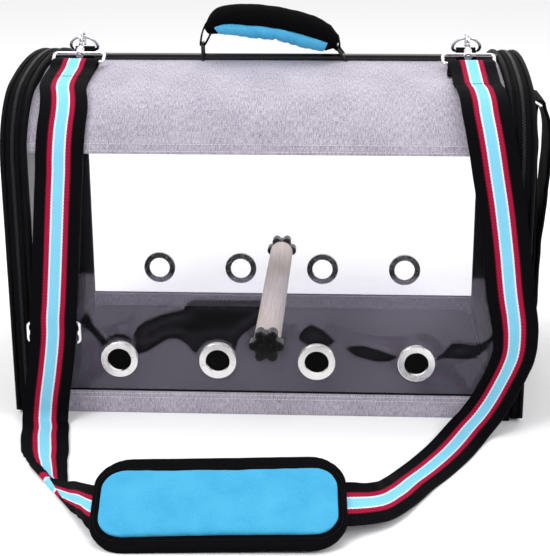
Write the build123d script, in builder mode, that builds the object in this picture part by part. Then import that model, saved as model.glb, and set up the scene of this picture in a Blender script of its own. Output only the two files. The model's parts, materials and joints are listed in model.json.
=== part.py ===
"""Soft-sided bird travel carrier: an arched cabin with clear windows, a zipped door at each end,
a perch, a padded carry handle and a clip-on shoulder strap with a pad.

Millimetres, +Z up. X runs along the cabin from the left door to the right one, -Y is the front
window, and the origin is the centre of the underside, on the ground.
"""
from build123d import *
from math import asin, atan2, cos, degrees, hypot, radians, sin, sqrt
import os

os.makedirs("parts", exist_ok=True)

# ------------------------------------------------------------------ driving dimensions
# Cabin section: upright walls, round shoulders and a shallow crown
BODY_WIDTH = 254.0         # over the two windows
SHOULDER_HEIGHT = 210.0    # where the upright walls start to curve in
SHOULDER_RADIUS = 58.0
CROWN_RADIUS = 342.3       # outside of the top panels, over the middle
PANEL_HALF = 190.0         # half length of the windows and top panels
FABRIC = 1.6               # top panels and hems
FILM = 1.0                 # clear window sheet
HEM_HEIGHT = 20.0          # grey strip under each window
WINDOW_RISE = 11.5         # seam of window and top panel, above the start of the shoulder

# End bands and doors
BAND_DEPTH = 10.5          # length of the fixed band along X
BAND_RISE = 4.0            # how far the band stands out of the panels
BAND_SINK = 4.0            # how far it reaches inside them
SILL_HEIGHT = 18.0         # bottom rail of the band
ZIP_GAP = 0.3              # between the fixed half and the door half
DOOR_DEPTH = 8.2           # length of the door rim along X
DOOR_FOOT = 2.0            # underside of the door above the ground
RIM_WIDTH = 14.0           # face width of the door rim
DOOR_FABRIC = 2.0
DOOR_MESH = 0.8
MESH_MARGIN = 32.0         # black fabric border round the mesh
PIPING_RADIUS = 1.8
TAPE_WIDTH = 4.8
TAPE = 0.8
COIL_WIDTH = 1.3
COIL = 0.8

# Frame and floor
HOOP_RADIUS = 2.0
HOOP_FIT = 0.2
TUBE_RADIUS = 3.3
TUBE_LIFT = 2.3            # centre of the crest tube above the panels
BOARD_THICK = 3.0
MAT_THICK = 4.0
FLOOR_FIT = 3.0            # gap round the base board

# Eyelets and perch
EYELET_PITCH = 81.7
EYELET_HEIGHT = 47.8
EYELET_COUNT = 4
EYELET_HOLE = 10.0         # radii
EYELET_FLANGE = 15.5
EYELET_WALL = 1.0
EYELET_THICK = 1.6
PERCH_HEIGHT = 65.5
PERCH_RADIUS = 11.0
STUD_RADIUS = 3.0
STUD_GRIP = 16.0           # stud inside the perch
STUD_REACH = 12.0          # stud beyond the window
RUNNING_FIT = 0.05
WASHER_RADIUS = 9.0
WASHER_THICK = 1.2
KNOB_RADIUS = 14.3
KNOB_THICK = 12.0
KNOB_LOBES = 6
KNOB_LOBE_RADIUS = 4.2
KNOB_CAP = 3.0

# Carry handle
HANDLE_SPAN = 122.0        # between its two rings
HANDLE_LEAN = 10.0         # degrees towards the front
HANDLE_DEPTH = 34.0
HANDLE_THICK = 24.0
CORE_WIDTH = 25.0
CORE_THICK = 3.0
RING_WIRE = 1.2
RING_LENGTH = 17.0         # between the middles of its two bars
RING_WIDTH = 11.0
RING_TILT = 35.0           # degrees, right ring only: that end of the handle has sunk

# Shoulder strap, its hooks and its pad
WEBBING_WIDTH = 38.0
WEBBING = 1.6
HOOK_INSET = 26.0          # middle of each ring in from the end of the top panels
D_WIRE = 1.3
D_SETBACK = 3.0            # bar of the ring behind the crest
D_RISE = 5.7               # and above the crest tube
D_WIDTH = 21.5
D_SEAT = 3.5               # ring wire off the middle of the hook, away from the gate
HOOK_FORWARD = 11.0        # middle of the hook in front of the ring's bar
HOOK_RISE = 9.0            # and above it
EYE_WIRE = 1.5
EYE_SETBACK = 33.0         # strap bar in front of the crest
EYE_DEPTH = 9.0
COLLAR_RADIUS = 3.4
STUD_SHANK = 1.5
HOOK_RADIUS = 8.0
HOOK_WIRE = 1.8
GATE_WIRE = 1.0
GATE_PIN = 0.5
GLIDE_DROP = 135.0         # middle of the adjuster below the start of the shoulder
GLIDE_GAP = 15.5           # strap face in front of the adjuster, off the window
GLIDE_WIDTH = 45.0
GLIDE_HEIGHT = 19.0
GLIDE_BAR = 2.6
PAD_LENGTH = 181.0
PAD_WIDTH = 81.0
PAD_BORDER = 10.0
PAD_BASE = 6.0
PAD_CUSHION = 8.0
PAD_TILT = 24.0            # degrees, the far long edge is raised
PAD_TURN = 2.5             # degrees about the vertical
PAD_SHIFT = -0.1184        # middle of the pad, as a share of the half length of the cabin
PAD_FORWARD = 194.0        # middle of the pad in front of the window

# Seat-belt strap on the right door
BELT_WIDTH = 50.0
BELT_THICK = 3.0
BELT_RING_WIRE = 1.3
BELT_RISE = 33.0           # middle of its ring above the start of the shoulder
BELT_REACH = 17.5          # and out from the door
BELT_ANCHOR_RISE = 4.5     # fixed bar of the ring above its free bar
BELT_ANCHOR_REACH = 9.5    # fixed bar out from the door

# Zip sliders
SLIDER_LENGTH = 14.0
SLIDER_WIDTH = 10.0
SLIDER_PLATE = 1.4
SLIDER_HEIGHT = 39.0
PULL_LENGTH = 22.0
PULL_WIDTH = 6.0

FIT = 0.3                  # clearance between pieces that move past each other

# ------------------------------------------------------------------ derived places
SIDES = (("left", -1), ("right", 1))
FACES = (("front", -1), ("back", 1))
HALF_WIDTH = BODY_WIDTH / 2
CORNER_Y = HALF_WIDTH - SHOULDER_RADIUS
CROWN_Z = SHOULDER_HEIGHT - sqrt((CROWN_RADIUS - SHOULDER_RADIUS) ** 2 - CORNER_Y**2)
CREST_HEIGHT = CROWN_Z + CROWN_RADIUS
WINDOW_TOP = SHOULDER_HEIGHT + WINDOW_RISE
LEAN = degrees(atan2(CORNER_Y, SHOULDER_HEIGHT - CROWN_Z))
BAND_END = PANEL_HALF + BAND_DEPTH
DOOR_START = BAND_END + ZIP_GAP
DOOR_END = DOOR_START + DOOR_DEPTH
ZIP_X = BAND_END + ZIP_GAP / 2
COIL_TOP = BAND_RISE + TAPE + COIL
TUBE_Z = CREST_HEIGHT + TUBE_LIFT
RING_DROP = TUBE_RADIUS + RING_WIRE + FIT
RING_SWEEP = 2 * hypot(RING_WIDTH / 2, RING_DROP) + 2 * RING_WIRE + 1
HALF_SPAN = HANDLE_SPAN / 2
HOOK_X = PANEL_HALF - HOOK_INSET


def save(piece, node):
    """Label one finished piece and write it to its own file."""
    piece.part.label = node
    export_step(piece.part, f"parts/{node}.step")


def arch_outline(grow=0.0, foot=0.0):
    """Closed section of the cabin, offset outwards by grow and cut level at height foot."""
    half = HALF_WIDTH + grow
    with BuildSketch() as outline:
        with BuildLine():
            CenterArc((-CORNER_Y, SHOULDER_HEIGHT), SHOULDER_RADIUS + grow, 90 + LEAN, 90 - LEAN)
            CenterArc((0, CROWN_Z), CROWN_RADIUS + grow, 90 - LEAN, 2 * LEAN)
            CenterArc((CORNER_Y, SHOULDER_HEIGHT), SHOULDER_RADIUS + grow, 0, 90 - LEAN)
            Polyline((-half, SHOULDER_HEIGHT), (-half, foot), (half, foot), (half, SHOULDER_HEIGHT))
        make_face()
    return outline.sketch


def arch_path(x, grow, foot):
    """Open wire over the arch at one X, offset outwards by grow, with legs down to height foot."""
    half = HALF_WIDTH + grow
    with BuildLine(Plane.YZ.offset(x)) as path:
        Line((-half, foot), (-half, SHOULDER_HEIGHT))
        CenterArc((-CORNER_Y, SHOULDER_HEIGHT), SHOULDER_RADIUS + grow, 180, LEAN - 90)
        CenterArc((0, CROWN_Z), CROWN_RADIUS + grow, 90 + LEAN, -2 * LEAN)
        CenterArc((CORNER_Y, SHOULDER_HEIGHT), SHOULDER_RADIUS + grow, 90 - LEAN, LEAN - 90)
        Line((half, SHOULDER_HEIGHT), (half, foot))
    return path.wire()


def arch_point(turn, lift):
    """Point on the front half of the arch whose normal leans turn degrees forwards, lifted off the panels."""
    if turn < LEAN:
        centre, radius = Vector(0, 0, CROWN_Z), CROWN_RADIUS + lift
    else:
        centre, radius = Vector(0, -CORNER_Y, SHOULDER_HEIGHT), SHOULDER_RADIUS + lift
    return centre + Vector(0, -sin(radians(turn)), cos(radians(turn))) * radius


# ------------------------------------------------------------------ floor and walls
with BuildPart() as bottom_panel:
    with BuildSketch():
        Rectangle(2 * PANEL_HALF, BODY_WIDTH - 2 * FABRIC)
    extrude(amount=FABRIC)
save(bottom_panel, "bottom_panel")

with BuildPart() as base_board:
    with BuildSketch(Plane.XY.offset(FABRIC)):
        RectangleRounded(2 * (PANEL_HALF - FLOOR_FIT), BODY_WIDTH - 2 * (FABRIC + FLOOR_FIT), 12)
    extrude(amount=BOARD_THICK)
save(base_board, "base_board")

with BuildPart() as floor_mat:
    with BuildSketch(Plane.XY.offset(FABRIC + BOARD_THICK)):
        RectangleRounded(2 * (PANEL_HALF - FLOOR_FIT), BODY_WIDTH - 2 * (FABRIC + FLOOR_FIT), 12)
    extrude(amount=MAT_THICK)
    fillet(floor_mat.edges().group_by(Axis.Z)[-1], radius=MAT_THICK / 3)
save(floor_mat, "floor_mat")


def wall_section(thickness, low, high, face):
    """Slice of the cabin wall between two heights, on the front (-1) or back (1) half."""
    with BuildSketch() as section:
        add(arch_outline(0, 0))
        add(arch_outline(-thickness, -thickness), mode=Mode.SUBTRACT)
        with Locations((face * HALF_WIDTH / 2, (low + high) / 2)):
            Rectangle(HALF_WIDTH, high - low, mode=Mode.INTERSECT)
    return section.sketch


for face_name, face in FACES:
    eyelet_row = Plane(origin=(0, face * HALF_WIDTH, EYELET_HEIGHT), x_dir=(-face, 0, 0), z_dir=(0, face, 0))
    perch_axis = Plane(origin=(0, face * HALF_WIDTH, PERCH_HEIGHT), x_dir=(-face, 0, 0), z_dir=(0, face, 0))

    with BuildPart() as hem:
        with BuildSketch(Plane.YZ):
            add(wall_section(FABRIC, 0, HEM_HEIGHT, face))
        extrude(amount=PANEL_HALF, both=True)
    save(hem, f"{face_name}_hem")

    with BuildPart() as window:
        with BuildSketch(Plane.YZ):
            add(wall_section(FILM, HEM_HEIGHT, WINDOW_TOP, face))
        extrude(amount=PANEL_HALF, both=True)
        with BuildSketch(eyelet_row):
            with GridLocations(EYELET_PITCH, 1, EYELET_COUNT, 1):
                Circle(EYELET_HOLE + EYELET_WALL + HOOP_FIT)
        extrude(amount=-2 * FILM, mode=Mode.SUBTRACT)
        with BuildSketch(perch_axis):
            Circle(STUD_RADIUS + HOOP_FIT)
        extrude(amount=-2 * FILM, mode=Mode.SUBTRACT)
    save(window, f"{face_name}_window")

    with BuildPart() as top_panel:
        with BuildSketch(Plane.YZ):
            add(wall_section(FABRIC, WINDOW_TOP, CREST_HEIGHT + FABRIC, face))
        extrude(amount=PANEL_HALF, both=True)
        # the crest tube is bedded in the seam
        with BuildSketch(Plane.YZ):
            with Locations((0, TUBE_Z)):
                Circle(TUBE_RADIUS + HOOP_FIT)
        extrude(amount=PANEL_HALF, both=True, mode=Mode.SUBTRACT)
        # the handle rings pass under the tube through slots in the seam
        with BuildSketch(Plane.XY.offset(CREST_HEIGHT - 2 * FABRIC)):
            with Locations((-HALF_SPAN, 0)):
                Rectangle(2 * RING_WIRE + 2, RING_SWEEP)
            with Locations((HALF_SPAN + RING_DROP * sin(radians(RING_TILT)) - 1.5, 0)):
                Rectangle(2 * RING_WIRE + 10, RING_SWEEP)
        extrude(amount=4 * FABRIC, mode=Mode.SUBTRACT)
    save(top_panel, f"{face_name}_top_panel")

    with BuildPart() as eyelets:
        with BuildSketch(eyelet_row):
            with GridLocations(EYELET_PITCH, 1, EYELET_COUNT, 1):
                Circle(EYELET_FLANGE)
        extrude(amount=EYELET_THICK)
        fillet(eyelets.edges().group_by(Axis.Y)[0 if face < 0 else -1], radius=EYELET_THICK / 2)
        with BuildSketch(eyelet_row):
            with GridLocations(EYELET_PITCH, 1, EYELET_COUNT, 1):
                Circle(EYELET_HOLE + EYELET_WALL)
        extrude(amount=-FILM - WASHER_THICK)
        with BuildSketch(eyelet_row.offset(EYELET_THICK)):
            with GridLocations(EYELET_PITCH, 1, EYELET_COUNT, 1):
                Circle(EYELET_HOLE)
        extrude(amount=-4 * EYELET_THICK, mode=Mode.SUBTRACT)
    save(eyelets, f"{face_name}_eyelets")

    with BuildPart() as eyelet_washers:
        with BuildSketch(eyelet_row.offset(-FILM)):
            with GridLocations(EYELET_PITCH, 1, EYELET_COUNT, 1):
                Circle(EYELET_FLANGE)
            with GridLocations(EYELET_PITCH, 1, EYELET_COUNT, 1):
                Circle(EYELET_HOLE + EYELET_WALL, mode=Mode.SUBTRACT)
        extrude(amount=-WASHER_THICK)
    save(eyelet_washers, f"{face_name}_eyelet_washers")

    with BuildPart() as knob:
        with BuildSketch(perch_axis.offset(WASHER_THICK + FIT)):
            Circle(KNOB_RADIUS - KNOB_LOBE_RADIUS + 0.5)
            with PolarLocations(KNOB_RADIUS - KNOB_LOBE_RADIUS, KNOB_LOBES):
                Circle(KNOB_LOBE_RADIUS)
        extrude(amount=KNOB_THICK)
        fillet(knob.edges().group_by(Axis.Y)[0 if face < 0 else -1], radius=1.5)
        with BuildSketch(perch_axis.offset(WASHER_THICK + FIT)):
            Circle(STUD_RADIUS + RUNNING_FIT)
        extrude(amount=KNOB_THICK - KNOB_CAP, mode=Mode.SUBTRACT)
    save(knob, f"{face_name}_knob")

# ------------------------------------------------------------------ perch
PERCH_HALF = HALF_WIDTH - FILM - WASHER_THICK
STUD_END = HALF_WIDTH + WASHER_THICK + FIT + KNOB_THICK - KNOB_CAP - 2 * FIT
PERCH_PLANE = Plane(origin=(0, 0, PERCH_HEIGHT), x_dir=(1, 0, 0), z_dir=(0, -1, 0))

with BuildPart() as perch_dowel:
    with BuildSketch(PERCH_PLANE):
        Circle(PERCH_RADIUS)
    extrude(amount=PERCH_HALF, both=True)
    fillet(perch_dowel.edges().filter_by(GeomType.CIRCLE), radius=1.5)
    with BuildSketch(PERCH_PLANE.offset(PERCH_HALF)):
        Circle(STUD_RADIUS)
    extrude(amount=-STUD_GRIP, mode=Mode.SUBTRACT)
    with BuildSketch(PERCH_PLANE.offset(-PERCH_HALF)):
        Circle(STUD_RADIUS)
    extrude(amount=STUD_GRIP, mode=Mode.SUBTRACT)
save(perch_dowel, "perch_dowel")

with BuildPart() as perch_studs:
    for _, face in FACES:
        with BuildSketch(PERCH_PLANE.offset(-face * (PERCH_HALF - STUD_GRIP))):
            Circle(STUD_RADIUS)
        extrude(amount=-face * (STUD_END - PERCH_HALF + STUD_GRIP))
save(perch_studs, "perch_studs")

with BuildPart() as perch_washers:
    for _, face in FACES:
        for start in (PERCH_HALF, HALF_WIDTH):
            with BuildSketch(PERCH_PLANE.offset(-face * start)):
                Circle(WASHER_RADIUS)
                Circle(STUD_RADIUS + HOOP_FIT, mode=Mode.SUBTRACT)
            extrude(amount=-face * WASHER_THICK)
save(perch_washers, "perch_washers")

# ------------------------------------------------------------------ crest tube and hoops
with BuildPart() as crest_tube:
    with BuildSketch(Plane.YZ.offset(-PANEL_HALF)):
        with Locations((0, TUBE_Z)):
            Circle(TUBE_RADIUS)
    extrude(amount=2 * PANEL_HALF)
save(crest_tube, "crest_tube")

HOOP_FOOT = 8.0
HOOP_X = PANEL_HALF + BAND_DEPTH / 2


def arch_rod(x, grow, foot, radius):
    """Round rod that follows the arch at one X, with straight legs down to height foot."""
    with BuildPart() as rod:
        with BuildLine():
            add(arch_path(x, grow, foot))
        with BuildSketch(Plane.XY.offset(foot)):
            with Locations((x, -HALF_WIDTH - grow)):
                Circle(radius)
        sweep()
    return rod.part


with BuildPart() as frame_hoops:
    for _, side in SIDES:
        add(arch_rod(side * HOOP_X, 0, HOOP_FOOT, HOOP_RADIUS))
save(frame_hoops, "frame_hoops")

# ------------------------------------------------------------------ end bands, doors and zips
PIPING_GROW = BAND_RISE + 0.3
PIPING_FOOT = 1.0
RIM_FOOT = DOOR_FOOT + SILL_HEIGHT - FABRIC
RIM_INNER = BAND_RISE - RIM_WIDTH
OUTER_PIPING_X = DOOR_END
PANEL_FACE = DOOR_END - 2 * DOOR_FABRIC
TAPE_FOOT = SILL_HEIGHT


def end_plane(side, x):
    """Plane across the cabin at distance x from the middle, facing away from the middle."""
    return Plane(origin=(side * x, 0, 0), x_dir=(0, side, 0), z_dir=(side, 0, 0))


for side_name, side in SIDES:
    with BuildPart() as band:
        with BuildSketch(end_plane(side, PANEL_HALF)):
            add(arch_outline(BAND_RISE, 0))
            add(arch_outline(-BAND_SINK, SILL_HEIGHT), mode=Mode.SUBTRACT)
        extrude(amount=BAND_DEPTH)
        add(arch_rod(side * HOOP_X, 0, HOOP_FOOT - FIT, HOOP_RADIUS + HOOP_FIT), mode=Mode.SUBTRACT)
        add(
            arch_rod(side * (PANEL_HALF + PIPING_RADIUS), PIPING_GROW, 0, PIPING_RADIUS + HOOP_FIT / 2),
            mode=Mode.SUBTRACT,
        )
    save(band, f"{side_name}_band")

    with BuildPart() as inner_piping:
        add(arch_rod(side * (PANEL_HALF + PIPING_RADIUS), PIPING_GROW, PIPING_FOOT, PIPING_RADIUS))
    save(inner_piping, f"{side_name}_inner_piping")

    with BuildPart() as body_zip:
        with BuildSketch(end_plane(side, BAND_END)):
            add(arch_outline(BAND_RISE + TAPE, TAPE_FOOT))
            add(arch_outline(BAND_RISE, TAPE_FOOT - 1), mode=Mode.SUBTRACT)
        extrude(amount=-TAPE_WIDTH)
        with BuildSketch(end_plane(side, BAND_END)):
            add(arch_outline(BAND_RISE + TAPE + COIL, TAPE_FOOT))
            add(arch_outline(BAND_RISE, TAPE_FOOT - 1), mode=Mode.SUBTRACT)
        extrude(amount=-COIL_WIDTH)
    save(body_zip, f"{side_name}_zip_body_side")

    with BuildPart() as rim:
        with BuildSketch(end_plane(side, DOOR_START)):
            add(arch_outline(BAND_RISE, DOOR_FOOT))
            add(arch_outline(RIM_INNER, RIM_FOOT), mode=Mode.SUBTRACT)
        extrude(amount=DOOR_DEPTH)
        add(arch_rod(side * DOOR_END, BAND_RISE, DOOR_FOOT - 1, PIPING_RADIUS + HOOP_FIT / 2), mode=Mode.SUBTRACT)
    save(rim, f"{side_name}_door_rim")

    with BuildPart() as outer_piping:
        add(arch_rod(side * DOOR_END, BAND_RISE, DOOR_FOOT + PIPING_FOOT, PIPING_RADIUS))
    save(outer_piping, f"{side_name}_outer_piping")

    with BuildPart() as door_zip:
        with BuildSketch(end_plane(side, DOOR_START)):
            add(arch_outline(BAND_RISE + TAPE, TAPE_FOOT))
            add(arch_outline(BAND_RISE, TAPE_FOOT - 1), mode=Mode.SUBTRACT)
        extrude(amount=TAPE_WIDTH)
        with BuildSketch(end_plane(side, DOOR_START)):
            add(arch_outline(BAND_RISE + TAPE + COIL, TAPE_FOOT))
            add(arch_outline(BAND_RISE, TAPE_FOOT - 1), mode=Mode.SUBTRACT)
        extrude(amount=COIL_WIDTH)
    save(door_zip, f"{side_name}_zip_door_side")

    with BuildPart() as door_panel:
        with BuildSketch(end_plane(side, PANEL_FACE)):
            add(arch_outline(RIM_INNER, RIM_FOOT))
            add(arch_outline(RIM_INNER - MESH_MARGIN, RIM_FOOT + MESH_MARGIN), mode=Mode.SUBTRACT)
        extrude(amount=DOOR_FABRIC)
    save(door_panel, f"{side_name}_door_panel")

    with BuildPart() as door_mesh:
        with BuildSketch(end_plane(side, PANEL_FACE + DOOR_FABRIC / 2 - DOOR_MESH / 2)):
            add(arch_outline(RIM_INNER - MESH_MARGIN, RIM_FOOT + MESH_MARGIN))
        extrude(amount=DOOR_MESH)
    save(door_mesh, f"{side_name}_door_mesh")

# ------------------------------------------------------------------ strap hardware
# Each hook line rises from the strap bar of the eye to the middle of the hook
EYE_BAR_Z = arch_point(degrees(asin(EYE_SETBACK / CROWN_RADIUS)), 0).Z + EYE_WIRE + WEBBING + 0.9
D_BAR = (D_SETBACK, TUBE_Z + D_RISE)
HOOK_MIDDLE = (D_BAR[0] - HOOK_FORWARD, D_BAR[1] + HOOK_RISE)
HOOK_LINE = degrees(atan2(HOOK_MIDDLE[1] - EYE_BAR_Z, HOOK_MIDDLE[0] + EYE_SETBACK))
HOOK_REACH = hypot(HOOK_MIDDLE[1] - EYE_BAR_Z, HOOK_MIDDLE[0] + EYE_SETBACK)
D_BOW = (
    HOOK_MIDDLE[0] + D_SEAT * cos(radians(HOOK_LINE + 45)),
    HOOK_MIDDLE[1] + D_SEAT * sin(radians(HOOK_LINE + 45)),
)
D_LEAN = degrees(atan2(D_BOW[1] - D_BAR[1], D_BOW[0] - D_BAR[0]))
D_LENGTH = hypot(D_BOW[1] - D_BAR[1], D_BOW[0] - D_BAR[0])
EYE_LENGTH = EYE_DEPTH + 2 * EYE_WIRE
EYE_WIDTH = WEBBING_WIDTH + 2 * EYE_WIRE + 1.5
COLLAR_LENGTH = 5.0
GATE_START = 212.0
GATE_END = 300.0
GATE_PIVOT = GATE_START + degrees((GATE_WIRE + FIT) / HOOK_RADIUS)
GATE_TIP = HOOK_RADIUS - HOOK_WIRE - GATE_WIRE - FIT


def tilted_plane(x, y, z, lean):
    """Plane whose x runs along +X and whose y leans lean degrees up from +Y."""
    return Plane(origin=(x, y, z), x_dir=(1, 0, 0), z_dir=(0, -sin(radians(lean)), cos(radians(lean))))


def wire_loop(plane, width, length, corner, wire):
    """Round wire bent into a closed rounded rectangle on a plane, both sizes to the wire middle."""
    with BuildSketch(plane) as outline:
        RectangleRounded(width, length, corner)
    path = outline.sketch.faces()[0].outer_wire()
    with BuildPart() as loop:
        with BuildSketch(Plane(origin=path.position_at(0.5), z_dir=path.tangent_at(0.5))):
            Circle(wire)
        sweep(path=path)
    return loop.part


with BuildPart() as ring_tabs:
    for _, side in SIDES:
        with BuildSketch(Plane.YZ.offset(side * HOOK_X - D_WIDTH / 2 + 2.5)):
            with BuildSketch(mode=Mode.PRIVATE) as ends:
                with Locations((0, TUBE_Z)):
                    Circle(TUBE_RADIUS + WEBBING)
                with Locations(D_BAR):
                    Circle(D_WIRE + WEBBING)
            make_hull(ends.edges())
            with Locations((0, CREST_HEIGHT - TUBE_RADIUS)):
                Rectangle(6 * TUBE_RADIUS, 2 * TUBE_RADIUS, mode=Mode.SUBTRACT)
            with Locations((0, TUBE_Z)):
                Circle(TUBE_RADIUS, mode=Mode.SUBTRACT)
            with Locations(D_BAR):
                Circle(D_WIRE + RUNNING_FIT, mode=Mode.SUBTRACT)
        extrude(amount=D_WIDTH - 5)
save(ring_tabs, "strap_ring_tabs")

for side_name, side in SIDES:
    hook_x = side * HOOK_X
    eye_plane = tilted_plane(
        hook_x,
        EYE_LENGTH / 2 * cos(radians(HOOK_LINE)) - EYE_SETBACK,
        EYE_LENGTH / 2 * sin(radians(HOOK_LINE)) + EYE_BAR_Z,
        HOOK_LINE,
    )
    d_plane = tilted_plane(hook_x, D_BAR[0], D_BAR[1], D_LEAN)
    hook_plane = Plane(
        origin=(hook_x, HOOK_MIDDLE[0], HOOK_MIDDLE[1]),
        x_dir=(0, cos(radians(HOOK_LINE)), sin(radians(HOOK_LINE))),
        z_dir=(1, 0, 0),
    )
    stem_plane = Plane(
        origin=(hook_x, -EYE_SETBACK, EYE_BAR_Z),
        x_dir=(1, 0, 0),
        z_dir=(0, cos(radians(HOOK_LINE)), sin(radians(HOOK_LINE))),
    )

    with BuildPart() as strap_ring:
        with BuildLine(d_plane) as bow:
            Line((-D_WIDTH / 2, 0), (D_WIDTH / 2, 0))
            ThreePointArc((D_WIDTH / 2, 0), (0, D_LENGTH), (-D_WIDTH / 2, 0))
            fillet(bow.vertices(), radius=3)
        ring_path = bow.wire()
        with BuildSketch(Plane(origin=ring_path.position_at(0.1), z_dir=ring_path.tangent_at(0.1))):
            Circle(D_WIRE)
        sweep(path=ring_path)
    save(strap_ring, f"{side_name}_strap_ring")

    with BuildPart() as strap_eye:
        add(wire_loop(eye_plane, EYE_WIDTH, EYE_LENGTH, 3, EYE_WIRE))
        with BuildSketch(stem_plane.offset(EYE_LENGTH - COLLAR_LENGTH / 2)):
            Circle(COLLAR_RADIUS)
        extrude(amount=COLLAR_LENGTH)
        with BuildSketch(stem_plane.offset(EYE_LENGTH - COLLAR_LENGTH)):
            Circle(STUD_SHANK + RUNNING_FIT)
        extrude(amount=2 * COLLAR_LENGTH, mode=Mode.SUBTRACT)
    save(strap_eye, f"{side_name}_strap_eye")

    with BuildPart() as hook:
        # round head inside the eye, stud through its collar, then the neck
        with BuildSketch(stem_plane.offset(EYE_LENGTH - COLLAR_LENGTH / 2 - FIT - 1.2)):
            Circle(STUD_SHANK + 1)
        extrude(amount=1.2)
        with BuildSketch(stem_plane.offset(EYE_LENGTH - COLLAR_LENGTH / 2 - FIT)):
            Circle(STUD_SHANK)
        extrude(amount=COLLAR_LENGTH + 3 * FIT)
        with BuildSketch(stem_plane.offset(EYE_LENGTH + COLLAR_LENGTH / 2 + FIT)):
            Circle(COLLAR_RADIUS)
        extrude(amount=2.2)
        with BuildSketch(stem_plane.offset(EYE_LENGTH + COLLAR_LENGTH / 2 + FIT + 2)):
            Circle(HOOK_WIRE + 0.4)
        extrude(amount=HOOK_REACH - HOOK_RADIUS - EYE_LENGTH - COLLAR_LENGTH / 2 - FIT - 1)
        with BuildLine(hook_plane) as bend:
            CenterArc((0, 0), HOOK_RADIUS, GATE_START, GATE_END - GATE_START - 360)
        bend_path = bend.wire()
        with BuildSketch(Plane(origin=bend_path.position_at(0), z_dir=bend_path.tangent_at(0))):
            Circle(HOOK_WIRE)
        sweep(path=bend_path)
        # cheeks and pin for the gate
        for cheek in (GATE_WIRE + FIT, -GATE_WIRE - FIT - GATE_PIN):
            with BuildSketch(hook_plane.offset(cheek)):
                with BuildSketch(mode=Mode.PRIVATE) as fork:
                    with PolarLocations(HOOK_RADIUS, 1, start_angle=GATE_PIVOT):
                        Circle(GATE_WIRE + FIT)
                    with PolarLocations(HOOK_RADIUS, 1, start_angle=GATE_START - 8):
                        Circle(GATE_WIRE + FIT)
                make_hull(fork.edges())
            extrude(amount=GATE_PIN)
        with BuildSketch(hook_plane.offset(-GATE_WIRE - FIT)):
            with PolarLocations(HOOK_RADIUS, 1, start_angle=GATE_PIVOT):
                Circle(GATE_PIN)
        extrude(amount=2 * (GATE_WIRE + FIT))
    save(hook, f"{side_name}_hook")

    with BuildPart() as hook_gate:
        gate_foot = hook_plane.from_local_coords(Vector(HOOK_RADIUS, 0).rotate(Axis.Z, GATE_PIVOT))
        gate_tip = hook_plane.from_local_coords(Vector(GATE_TIP, 0).rotate(Axis.Z, GATE_END))
        gate_line = gate_tip - gate_foot
        with BuildSketch(Plane(origin=gate_foot, z_dir=gate_line)):
            Circle(GATE_WIRE - 0.15)
        extrude(amount=gate_line.length)
        with BuildSketch(hook_plane.offset(-GATE_WIRE)):
            with PolarLocations(HOOK_RADIUS, 1, start_angle=GATE_PIVOT):
                Circle(GATE_WIRE)
        extrude(amount=2 * GATE_WIRE)
        with BuildSketch(hook_plane.offset(-2 * GATE_WIRE)):
            with PolarLocations(HOOK_RADIUS, 1, start_angle=GATE_PIVOT):
                Circle(GATE_PIN + RUNNING_FIT)
        extrude(amount=4 * GATE_WIRE, mode=Mode.SUBTRACT)
    save(hook_gate, f"{side_name}_hook_gate")

# ------------------------------------------------------------------ carry handle
HANDLE_PLANE = Plane(
    origin=(0, 0, TUBE_Z),
    x_dir=(1, 0, 0),
    z_dir=(0, -cos(radians(HANDLE_LEAN)), -sin(radians(HANDLE_LEAN))),
)
RINGS = (("left", -HALF_SPAN, 0.0), ("right", HALF_SPAN, -RING_TILT))
TAB_WIDTH = 5.0
TAB_WALL = 1.4

# Rest line of the handle: share of the half span and height over the tube; its right end has sunk
HANDLE_REST = ((-0.918, 25), (-0.7377, 31.5), (-0.3279, 32), (0.082, 29), (0.4918, 22.5), (0.7377, 17), (0.8689, 14))
HANDLE_LINE = [(share * HALF_SPAN, rise) for share, rise in HANDLE_REST]
HANDLE_SWELL = ((7, 6), (15, 11.5), (17, 14), (17, 14), (17, 14), (15, 11.5), (8, 7))


def ring_end(foot_x, tilt):
    """Middle of the far bar of a handle ring, in the handle plane."""
    drop = RING_DROP / cos(radians(tilt))
    return Vector(foot_x, 0) + Vector(0, RING_LENGTH - drop).rotate(Axis.Z, -tilt)


def handle_body(shrink):
    """Padded body of the handle, made thinner all round by shrink."""
    with BuildLine(HANDLE_PLANE) as line:
        Spline(HANDLE_LINE)
    path = line.wire()
    last = len(HANDLE_LINE) - 1
    with BuildPart() as body:
        for step, (depth, thick) in enumerate(HANDLE_SWELL):
            at = HANDLE_PLANE.from_local_coords(Vector(*HANDLE_LINE[step]))
            station = path.param_at_point(at) if 0 < step < last else step / last
            with BuildSketch(Plane(origin=at, x_dir=HANDLE_PLANE.z_dir, z_dir=path.tangent_at(station))):
                Ellipse(depth - shrink, thick - shrink)
        loft()
    return body.part


def handle_strip(points, wide, thick):
    """Flat strip through a list of points in the handle plane."""
    with BuildPart() as strip:
        with BuildSketch(HANDLE_PLANE.offset(-wide / 2)):
            for start, end in zip(points[:-1], points[1:]):
                with BuildSketch(mode=Mode.PRIVATE) as ends:
                    with Locations(start, end):
                        Circle(thick / 2)
                add(make_hull(ends.edges(), mode=Mode.PRIVATE))
        extrude(amount=wide)
    return strip.part


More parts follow.
